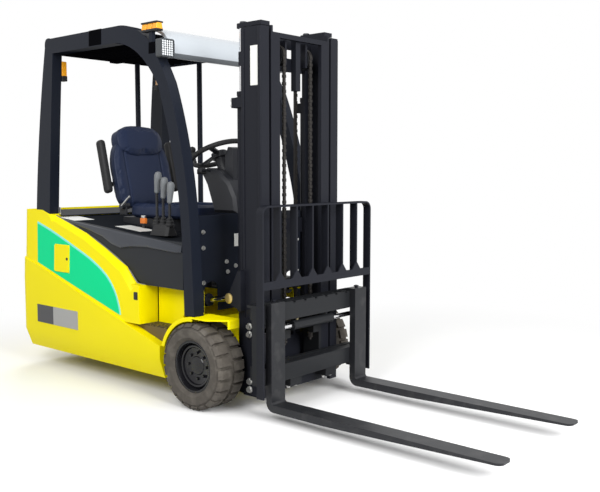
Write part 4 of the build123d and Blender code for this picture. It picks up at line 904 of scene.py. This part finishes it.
@dataclass
class DriverSeat:
    """Padded seat: cushion, back, head pad and folded armrests."""

    recline: float = math.radians(14)
    back_length: float = 0.535
    swell: float = 0.006
    voxel: float = 0.006
    pressure: float = 4.0
    frames: int = 18
    cap: float = 0.009
    seam_depth: float = 0.007
    seam_half: float = 0.008
    corner: float = 0.13
    edge_drop: float = 0.3
    cuts: int = 24

    def pad_mesh(self, pad: Pad) -> BMesh:
        """Plain pad about the origin, smaller all round by the swell.

        Args:
            pad: Form of the pad.

        Returns:
            The mesh before it is stuffed.
        """
        size = [value - 2 * self.swell for value in pad.size]
        bm = bmesh.new()
        bmesh.ops.create_cube(bm, size=2)
        bmesh.ops.subdivide_edges(bm, edges=bm.edges, cuts=self.cuts, use_grid_fill=True)
        for vert in bm.verts:
            u, v, w = vert.co
            edge = max(abs(u), abs(v))
            corner = 1 - self.corner * u ** 4 * v ** 4 - pad.rounding[v > 0] * u * u * v * v
            far = max(0.0, v) ** 2
            x = u * size[0] / 2 * corner * (1 - pad.taper * far)
            y = v * size[1] / 2 * corner
            hollow = pad.bow * (1 - u * u) if w > 0 else 0
            z = w * size[2] / 2 * (1 - self.edge_drop * edge ** 8) - hollow * abs(w)
            vert.co = (x, y, z + pad.lift * far)
        return bm

    def stuff(self, piece: Object) -> None:
        """Blow the pad up as sewn cloth, within the cap, and leave the result in its mesh.

        Args:
            piece: Pad that stands alone about the origin.
        """
        piece.modifiers.new("voxels", "REMESH").voxel_size = self.voxel
        self.bake(piece)
        start = [vert.co.copy() for vert in piece.data.vertices]
        cloth = piece.modifiers.new("stuffing", "CLOTH")
        cloth.settings.use_pressure = True
        cloth.settings.uniform_pressure_force = self.pressure
        cloth.settings.effector_weights.gravity = 0
        cloth.settings.quality = 4
        cloth.point_cache.frame_end = self.frames
        for number in range(1, self.frames + 1):
            bpy.context.scene.frame_set(number)
        self.bake(piece)
        bpy.context.scene.frame_set(1)
        for vert, before in zip(piece.data.vertices, start):
            move = vert.co - before
            if move.length > self.cap:
                vert.co = before + move * (self.cap / move.length)

    @staticmethod
    def bake(piece: Object) -> None:
        """Apply every modifier to the mesh.

        Args:
            piece: Piece with the modifiers.
        """
        depsgraph = bpy.context.evaluated_depsgraph_get()
        made = bpy.data.meshes.new_from_object(piece.evaluated_get(depsgraph))
        piece.modifiers.clear()
        piece.data = made

    def sew(self, mesh: bpy.types.Mesh, seams: Sequence[tuple[int, float]]) -> None:
        """Press sewn channels into a front face.

        Args:
            mesh: Pad about the origin.
            seams: Channels, each as an axis and a place on it.
        """
        for vert in mesh.vertices:
            if vert.co.z <= 0:
                continue
            for axis, place in seams:
                off = (vert.co[axis] - place) / self.seam_half
                vert.co.z -= self.seam_depth * math.exp(-off * off)

    def build_pad(self, pad: Pad, place: Matrix) -> None:
        """One stuffed pad with sewn channels.

        Args:
            pad: Form of the pad.
            place: Frame that the pad is put in.
        """
        piece = add_piece(pad.name, self.pad_mesh(pad), SEAT_NAVY)
        self.stuff(piece)
        piece.modifiers.new("fine", "SUBSURF").levels = 1
        self.bake(piece)
        self.sew(piece.data, pad.seams)
        piece.data.transform(place)
        piece.data.shade_smooth()
        piece.data.materials.clear()
        piece.data.materials.append(SEAT_NAVY.material())
        if pad.replaced:
            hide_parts(pad.replaced)

    def build_armrests(self) -> None:
        """Rounded armrests, folded up on their pins."""
        low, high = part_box("armrests")
        bm = bmesh.new()
        for side, _ in SIDES:
            at = Vector(((low.x + high.x) / 2, side * (high.y - 0.024), (low.z + high.z) / 2))
            arm = bmesh.new()
            add_box(arm, (-0.03, -0.023, -0.168), (0.03, 0.023, 0.168), 0.0215)
            arm.transform(Matrix.Translation(at) @ Matrix.Rotation(-self.recline, 4, "Y"))
            mesh = bpy.data.meshes.new("arm")
            arm.to_mesh(mesh)
            arm.free()
            bm.from_mesh(mesh)
            pin = Vector((at.x + 0.014, side * 0.225, at.z - 0.11))
            add_rod(bm, pin, pin + Vector((0, side * 0.04, 0)), 0.016)
        piece = add_piece("armrest_pads", bm, RUBBER_BLACK)
        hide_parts("armrests")

    def build_recliner(self) -> None:
        """Recliner hub and handle at the foot of the seat."""
        hub, handle = bmesh.new(), bmesh.new()
        add_rod(hub, ahead(-925, -205, 1030), ahead(-925, -262, 1030), 0.019)
        add_box(hub, ahead(-975, -238, 975), ahead(-905, -226, 1040), 0.005)
        add_piece("recliner_hub", hub, PLASTIC_BLACK)
        add_rod(handle, ahead(-921, -256, 1034), ahead(-838, -262, 1092), 0.008, 0.006)
        add_piece("recliner_handle", handle, ZINC)

    def build(self) -> None:
        """Build the pads in place of the plain solids."""
        dress(PLASTIC_BLACK, "seat_base", edge=0.003)
        low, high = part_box("seat_cushion")
        size = high - low
        cushion = Pad("cushion_pad", (size.y, size.x, size.z), 0.06, 0.012,
                      ((0, -0.145), (0, 0.145), (1, 0.12), (1, -0.1)), 0.009, replaced="seat_cushion")
        self.build_pad(cushion, Matrix.Translation((low + high) / 2) @ Matrix.Rotation(math.radians(-90), 4, "Z"))
        low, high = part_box("seat_back")
        foot = Matrix.Translation(ahead(-952, 0, 1011)) @ Matrix.Rotation(-self.recline, 4, "Y")
        stand = Matrix(((0, 0, 1, 0), (1, 0, 0, 0), (0, 1, 0, 0), (0, 0, 0, 1)))
        back = Pad("back_pad", (high.y - low.y, self.back_length, 0.092), 0.32, 0.016, ((0, -0.14), (0, 0.14)),
                   rounding=(0.0, 0.13), replaced="seat_back")
        self.build_pad(back, foot @ Matrix.Translation((-0.046, 0, self.back_length / 2)) @ stand)
        head = Pad("head_pad", (0.37, 0.214, 0.112), 0.06, rounding=(0.17, 0.15))
        self.build_pad(head, foot @ Matrix.Translation((-0.04, 0, self.back_length - 0.096)) @ stand)
        self.build_armrests()
        self.build_recliner()


@dataclass
class Controls:
    """Steering, levers and their small parts."""

    column: tuple[float, float, float] = (-318, 0, 1318)
    tilt: float = math.radians(25)
    rim_rise: float = 0.029
    rim_r: float = 0.165
    rim_steps: int = 64
    grip_r: float = 0.0146
    grip_steps: int = 14
    knob_turn: float = math.radians(165)
    knob: Pairs = ((0.012, 0.006), (0.012, 0.022), (0.018, 0.028), (0.023, 0.038), (0.022, 0.048), (0.014, 0.056),
                   (0.002, 0.058))
    levers: Pairs = ((-470, 0.0), (-415, 0.03), (-360, 0.055))
    lever_y: float = -350
    grip: Pairs = ((0.009, 0), (0.0145, 0.006), (0.0165, 0.04), (0.0205, 0.08), (0.021, 0.1), (0.016, 0.116),
                   (0.004, 0.122))
    grip_lean: tuple[float, float, float] = (0.13, 0, 1)
    bellows: Pairs = ((0.025, -0.008), (0.0272, 0.0005), (0.0194, 0.009), (0.0216, 0.0175), (0.0138, 0.026),
                      (0.016, 0.0345), (0.0082, 0.043))

    def build_wheel(self) -> None:
        """Round rim and spinner knob of the steering wheel."""
        axis = Vector((-math.sin(self.tilt), 0, math.cos(self.tilt)))
        middle = ahead(*self.column) + axis * self.rim_rise
        across = Vector((0, 1, 0))
        side = axis.cross(across)
        rim, knob = bmesh.new(), bmesh.new()
        rings = []
        for turn in circle(self.rim_steps):
            out = across * math.cos(turn) + side * math.sin(turn)
            rings.append([middle + out * (self.rim_r + self.grip_r * math.cos(roll))
                          + axis * self.grip_r * math.sin(roll) for roll in circle(self.grip_steps)])
        add_skin(rim, rings, closed=True)
        add_piece("steering_rim", rim, RUBBER_BLACK, Body.HAND_WHEEL)
        out = across * math.cos(self.knob_turn) + side * math.sin(self.knob_turn)
        add_lathe(knob, middle + out * self.rim_r, axis, self.knob)
        add_piece("spinner_knob", knob, RUBBER_BLACK, Body.HAND_WHEEL)

    def build_stalk(self) -> None:
        """Direction stalk under the steering wheel."""
        bm = bmesh.new()
        add_rod(bm, ahead(-270, -60, 1236), ahead(-332, -128, 1240), 0.008)
        add_rod(bm, ahead(-318, -112, 1239), ahead(-352, -152, 1241), 0.012, 0.014)
        add_piece("direction_stalk", bm, RUBBER_BLACK)

    def build_levers(self) -> None:
        """Dark shafts, grey grips and bellows of the levers."""
        low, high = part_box("levers")
        shafts, grips, bellows = bmesh.new(), bmesh.new(), bmesh.new()
        for x, drop in self.levers:
            at = ahead(x, self.lever_y, 0)
            top = high.z - drop
            add_rod(shafts, at + UP * low.z, at + UP * (top - 0.062), 0.0078, sides=16)
            add_lathe(grips, at + UP * (top - 0.085), self.grip_lean, self.grip, 20)
            add_lathe(bellows, at + UP * low.z, UP, self.bellows)
        add_piece("lever_shafts", shafts, RUBBER_BLACK)
        add_piece("lever_grips", grips, GRIP_GREY)
        add_piece("lever_bellows", bellows, RUBBER_BLACK)

    def build_display(self) -> None:
        """Dark display on the pod, and the key beside the column."""
        glass, key = bmesh.new(), bmesh.new()
        add_box(glass, ahead(-216, -48, 1252), ahead(-214, 48, 1318), 0.0008)
        add_piece("display_glass", glass, COVER_BLACK)
        add_lathe(key, ahead(-334, -70, 1190), (-0.94, 0, -0.34),
                  ((0.013, -0.01), (0.013, 0.008), (0.009, 0.011)), 20)
        add_box(key, ahead(-362, -72, 1172), ahead(-340, -68, 1192), 0.0015)
        add_piece("key_switch", key, ZINC)

    def build(self) -> None:
        """Dress the controls."""
        dress(PLASTIC_BLACK, "steering_cowl", "steering_wheel", edge=0.004)
        dress(RUBBER_BLACK, "lever_boot", edge=0.003)
        dress(GRIP_GREY, "levers", edge=0.004)
        self.build_wheel()
        self.build_stalk()
        self.build_levers()
        self.build_display()


@dataclass
class Wheels:
    """Tyres, dished rims, hubs and their nuts."""

    face: Pairs = ((0.1135, 0.03), (0.1135, 0.054), (0.109, 0.058), (0.1, 0.056), (0.096, 0.046), (0.09, 0.042),
                   (0.05, 0.04), (0.046, 0.044), (0.001, 0.046))
    face_steps: int = 64
    nut_ring: float = 0.068
    nut_count: int = 8
    nut_from: float = 0.038
    nut_length: float = 0.012

    def build_front(self, side: int, body: Body, name: str) -> None:
        """Dished face and nuts of one front wheel.

        Args:
            side: Side of the truck.
            body: Body that carries them.
            name: Name of that side.
        """
        hub = centre(f"front_rim_{name}")
        hub.y = centre(f"front_tyre_{name}").y
        out = Vector((0, side, 0))
        face, nuts = bmesh.new(), bmesh.new()
        add_lathe(face, hub, out, self.face, self.face_steps)
        add_piece(f"wheel_face_{name}", face, RIM_BLACK, body)
        for turn in circle(self.nut_count):
            at = hub + out * self.nut_from + self.nut_ring * Vector((math.cos(turn), 0, math.sin(turn)))
            add_rod(nuts, at, at + out * self.nut_length, 0.0085, 0.0078, sides=6)
        add_piece(f"wheel_nuts_{name}", nuts, RIM_BLACK, body)

    def build(self) -> None:
        """Dress all wheels."""
        dress(TYRE_GREY, "front_tyre_right", "front_tyre_left", edge=0.003)
        dress(TYRE_GREY, "rear_tyres", edge=0.005)
        dress(RIM_BLACK, "front_rim_right", "front_rim_left", "rear_rims")
        dress(MAST_BLACK, "drive_units", "steer_bogie")
        for (side, name), body in zip(SIDES, (Body.WHEEL_RIGHT, Body.WHEEL_LEFT)):
            self.build_front(side, body, name)


@dataclass
class Mast:
    """Mast rails, cylinders, chains, hoses and fasteners."""

    pitch: float = 0.019
    link_share: float = 0.47
    link_trim: float = 0.0018
    plate_bolts: tuple[float, ...] = (443, 401, 153, 110)
    clamp_bolts: Pairs = ((213, 1582), (283, 1582), (213, 1610), (283, 1610))
    cylinder: tuple[float, float] = (124, 248)
    lift_route: Triples = ((74, 248, 134), (50, 248, 134), (44, 244, 170), (92, 180, 240), (134, 120, 300),
                           (134, 70, 340))
    tilt_route: Pairs = ((0, -0.03), (0, 0.012), (-0.03, 0.03), (-0.09, 0.026), (-0.16, 0))

    def chain(self, name: str, node: str, body: Body, y_span: tuple[float, float]) -> Object:
        """Leaf chain in place of a plain run.

        Args:
            name: Name of the piece.
            node: Node that it stands for.
            body: Body that carries it.
            y_span: Its near and far side from the middle of the truck.

        Returns:
            The chain.
        """
        low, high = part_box(node)
        bm = bmesh.new()
        count = int((high.z - low.z) / self.pitch)
        step = (high.z - low.z) / count
        for side, _ in SIDES:
            for index in range(count):
                z = low.z + step * (index + 0.5)
                trim = self.link_trim if index % 2 else 0.0
                half = step * self.link_share
                first, last = sorted((side * (y_span[0] + trim), side * (y_span[1] - trim)))
                add_box(bm, (low.x + trim, first, z - half), (high.x - trim, last, z + half), 0.002)
            first, last = sorted((side * (y_span[0] + 0.003), side * (y_span[1] - 0.003)))
            add_box(bm, (low.x + 0.004, first, low.z), (high.x - 0.004, last, high.z))
        piece = add_piece(name, bm, CHAIN_STEEL, body)
        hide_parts(node)
        return piece

    def build_fasteners(self) -> None:
        """Bolts of the lower mast plates and the cylinder clamps, rod nuts, tilt pins and cylinder collars."""
        bolts, nuts, pins, glands = bmesh.new(), bmesh.new(), bmesh.new(), bmesh.new()
        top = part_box("inner_mast")[1].z
        low, high = (corner.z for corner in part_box("lift_barrels"))
        for side, _ in SIDES:
            for z in self.plate_bolts:
                add_bolt(bolts, ahead(226, side * 316, z), (0, side, 0), 0.026)
            for y, z in self.clamp_bolts:
                add_bolt(bolts, ahead(79, side * y, z), (-1, 0, 0), 0.015)
            at = ahead(self.cylinder[0], side * self.cylinder[1], 0)
            add_rod(nuts, at + UP * (top - 0.002), at + UP * (top + 0.012), 0.019, 0.018, sides=6)
            add_lathe(pins, ahead(101, side * 340, 580), (0, side, 0),
                      ((0.027, -0.004), (0.027, 0.006), (0.017, 0.009)))
            add_rod(glands, at + UP * (high - 0.018), at + UP * (high + 0.004), 0.0352, sides=32)
            add_rod(glands, at + UP * (low + 0.05), at + Vector((-0.052, 0, low + 0.05)), 0.013)
        add_piece("mast_bolts", bolts, ZINC, Body.MAST_OUTER)
        add_piece("rod_nuts", nuts, MAST_BLACK, Body.MAST_INNER)
        add_piece("tilt_pin_heads", pins, BRASS_ZINC, Body.MAST_OUTER)
        add_piece("cylinder_glands", glands, MAST_BLACK, Body.MAST_OUTER)

    def build_hoses(self) -> None:
        """Lift and tilt hoses in fixed runs."""
        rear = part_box("tilt_barrels")[0].x
        for side, name in SIDES:
            lift = [ahead(x, side * y, z) for x, y, z in self.lift_route]
            add_hose(f"lift_hose_{name}", lift, 0.0085, HOSE_BLACK, Body.MAST_OUTER)
            port = Vector((rear + 0.27, side * 0.318, 0.585))
            tilt = [port + Vector((x, 0, z)) for x, z in self.tilt_route]
            add_hose(f"tilt_hose_{name}", tilt, 0.007, HOSE_BLACK, Body.TILT_BARRELS)

    def build_rails(self) -> None:
        """Blank pale strip on the outer rail, and the flanges of both outer rails."""
        label, flanges = bmesh.new(), bmesh.new()
        add_box(label, ahead(230, -304.8, 1675), ahead(281, -303.5, 1872))
        add_piece("mast_label", label, LABEL_WHITE, Body.MAST_OUTER)
        for rear, front in ((165.5, 186), (284, 304.5)):
            add_pair(flanges, (rear, 303, 486), (front, 309, 1960), 0.002)
        add_piece("rail_flanges", flanges, MAST_BLACK, Body.MAST_OUTER)

    def build(self) -> None:
        """Dress the mast and hang its chains."""
        dress(MAST_BLACK, "outer_mast", "inner_mast", "lift_barrels", edge=0.003)
        dress(CHROME, "lift_rods", edge=0.0)
        dress(CAST_BLACK, "chain_pulleys")
        dress(MAST_BLACK, "tilt_barrels")
        dress(CHROME, "tilt_rods")
        front = self.chain("front_chains", "chains_front", Body.MAST_INNER, (0.094, 0.116))
        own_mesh(front)
        self.chain("fixed_chains", "chains_fixed", Body.MAST_OUTER, (0.1065, 0.115))
        dress(CHAIN_STEEL, "chains_back", edge=0.0)
        self.build_fasteners()
        self.build_hoses()
        self.build_rails()


@dataclass
class Carriage:
    """Carriage, side shift, backrest and forks."""

    fork_y: float = 339
    hook_bolts: tuple[float, float] = (118, 172)
    fork_pin: Pairs = ((0.009, -0.004), (0.009, 0.005), (0.014, 0.007), (0.014, 0.011), (0.006, 0.014))
    anchor_nuts: tuple[float, float] = (0.352, 0.336)
    hose_route: Triples = ((379, 118, 468), (379, 118, 486), (376, 104, 494), (350, 86, 482), (330, 76, 482),
                           (300, 66, 500), (292, 56, 540))

    def build_fasteners(self) -> None:
        """Hook bolts of the side shift, fork pins, chain anchors and the side shift's chromed rod."""
        bolts, pins, rods, shaft = bmesh.new(), bmesh.new(), bmesh.new(), bmesh.new()
        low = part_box("side_shift_frame")[0].z
        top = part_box("forks")[1].z
        for side, _ in SIDES:
            for y in self.hook_bolts:
                add_bolt(bolts, ahead(365, side * y, 0) + UP * low, -UP, 0.02)
            add_lathe(pins, ahead(418, side * self.fork_y, 0) + UP * top, UP, self.fork_pin)
            at = ahead(278, side * 105, 0)
            add_rod(rods, at + UP * 0.318, at + UP * 0.362, 0.008)
            for z in self.anchor_nuts:
                add_rod(rods, at + UP * (z - 0.006), at + UP * (z + 0.006), 0.015, sides=6)
        add_rod(shaft, ahead(379, -394, 445), ahead(379, 394, 445), 0.0134, sides=24)
        add_piece("hook_bolts", bolts, ZINC, Body.SIDE_SHIFT)
        add_piece("fork_pins", pins, MAST_BLACK, Body.SIDE_SHIFT)
        add_piece("chain_anchor_rods", rods, CHAIN_STEEL, Body.CARRIAGE)
        add_piece("shift_rod_skin", shaft, CHROME, Body.SIDE_SHIFT)

    def build_hoses(self) -> None:
        """Side-shift hoses from the cylinder's ports to the back of the carriage."""
        for (side, name), finish in zip(SIDES, (HOSE_TAN, HOSE_BLACK)):
            route = [ahead(x, side * y, z) for x, y, z in self.hose_route]
            add_hose(f"shift_hose_{name}", route, 0.007, finish, Body.CARRIAGE)

    def build(self) -> None:
        """Dress the carriage and its attachments."""
        dress(CAST_BLACK, "carriage", "side_shift_frame", edge=0.003)
        dress(MAST_BLACK, "load_backrest", edge=0.002)
        dress(FORK_STEEL, "forks", edge=0.003)
        self.build_fasteners()
        self.build_hoses()


@dataclass
class Studio:
    """Pale floor, soft lamps and the camera of the photograph."""

    camera_at: tuple[float, float, float] = (3.168, -3.2787, 1.2506)
    yaw: float = 2.291
    pitch: float = -0.093
    lens: float = 48.96
    sensor: float = 36.0
    floor_r: float = 30
    floor_drop: float = 0.0005
    floor_tone: tuple[float, float] = (0.42, 0.93)
    fade: tuple[float, float] = (1.9, 3.6)
    world_tone: tuple[float, float] = (0.46, 1.0)
    lamp_size: float = 3.0
    lamp_aim: tuple[float, float, float] = (0, 0, 0.8)

    def build_floor(self) -> None:
        """Pale floor that fades into the white background away from the truck."""
        bm = bmesh.new()
        bmesh.ops.create_circle(bm, cap_ends=True, segments=96, radius=self.floor_r)
        data = bpy.data.meshes.new("studio_floor")
        bm.to_mesh(data)
        bm.free()
        floor = bpy.data.objects.new("studio_floor", data)
        floor.location.z = -self.floor_drop
        bpy.context.scene.collection.objects.link(floor)
        made = bpy.data.materials.new("studio_floor")
        made.use_nodes = True
        tree = made.node_tree
        tree.nodes.clear()
        place = add_node(tree, "ShaderNodeTexCoord").outputs["Object"]
        length = add_node(tree, "ShaderNodeVectorMath", {0: place}, "LENGTH")
        spread = add_node(tree, "ShaderNodeMapRange", {
            "Value": length.outputs["Value"], "From Min": self.fade[0], "From Max": self.fade[1]})
        spread.interpolation_type = "SMOOTHSTEP"
        shown = seen_rays(tree)
        tone = add_node(tree, "ShaderNodeMapRange", {
            "Value": shown, "To Min": self.floor_tone[0], "To Max": self.floor_tone[1]})
        seen = add_node(tree, "ShaderNodeMath", {0: shown, 1: spread.outputs["Result"]}, "MULTIPLY")
        paint = add_node(tree, "ShaderNodeBsdfDiffuse", {"Color": tone.outputs["Result"]})
        white = add_node(tree, "ShaderNodeEmission", {"Strength": 1.0})
        mix = add_node(tree, "ShaderNodeMixShader", {
            "Fac": seen.outputs["Value"], 1: paint.outputs["BSDF"], 2: white.outputs["Emission"]})
        add_node(tree, "ShaderNodeOutputMaterial", {"Surface": mix.outputs["Shader"]})
        data.materials.append(made)

    def build_world(self) -> None:
        """White surround, seen whole by the camera and in gloss, softer as light."""
        world = bpy.data.worlds.new("studio")
        bpy.context.scene.world = world
        world.use_nodes = True
        tree = world.node_tree
        level = add_node(tree, "ShaderNodeMapRange", {
            "Value": seen_rays(tree), "To Min": self.world_tone[0], "To Max": self.world_tone[1]})
        fill(tree, tree.nodes["Background"], {"Color": (1, 1, 1, 1), "Strength": level.outputs["Result"]})

    def build_lamp(self, name: str, at: Point, power: float) -> None:
        """Soft square lamp aimed at the truck. Only the key lamp shows in gloss.

        Args:
            name: Name of the lamp.
            at: Its place.
            power: Its power, in watts.
        """
        data = bpy.data.lights.new(name, "AREA")
        data.energy = power
        data.size = self.lamp_size
        lamp = bpy.data.objects.new(name, data)
        lamp.location = at
        aim = Vector(self.lamp_aim) - Vector(at)
        lamp.rotation_euler = aim.to_track_quat("-Z", "Y").to_euler()
        lamp.visible_glossy = name == "key"
        bpy.context.scene.collection.objects.link(lamp)

    def build_camera(self) -> None:
        """Camera where the photograph was taken from."""
        data = bpy.data.cameras.new("photo_view")
        data.lens = self.lens
        data.sensor_width = self.sensor
        camera = bpy.data.objects.new("photo_view", data)
        camera.location = self.camera_at
        aim = Vector((math.cos(self.yaw) * math.cos(self.pitch), math.sin(self.yaw) * math.cos(self.pitch),
                      math.sin(self.pitch)))
        camera.rotation_euler = aim.to_track_quat("-Z", "Y").to_euler()
        bpy.context.scene.collection.objects.link(camera)
        bpy.context.scene.camera = camera

    def build(self) -> None:
        """Set the stage."""
        bpy.context.scene.view_settings.view_transform = "Standard"
        self.build_floor()
        self.build_world()
        self.build_lamp("key", (1.5, -5.0, 4.2), 250)
        self.build_lamp("front_fill", (5.0, -0.5, 2.6), 320)
        self.build_lamp("rear_fill", (-4.5, 3.0, 3.5), 140)
        self.build_camera()


def main() -> None:
    """Build every sub-assembly in order."""
    logging.basicConfig(level=logging.INFO)
    for assembly in (BodyShell(), CoverDeck(), OverheadGuard(), DriverSeat(), Controls(), Wheels(), Mast(),
                     Carriage(), Studio()):
        assembly.build()
        LOG.info("built %s", type(assembly).__name__)


if __name__ == "__main__":
    main()
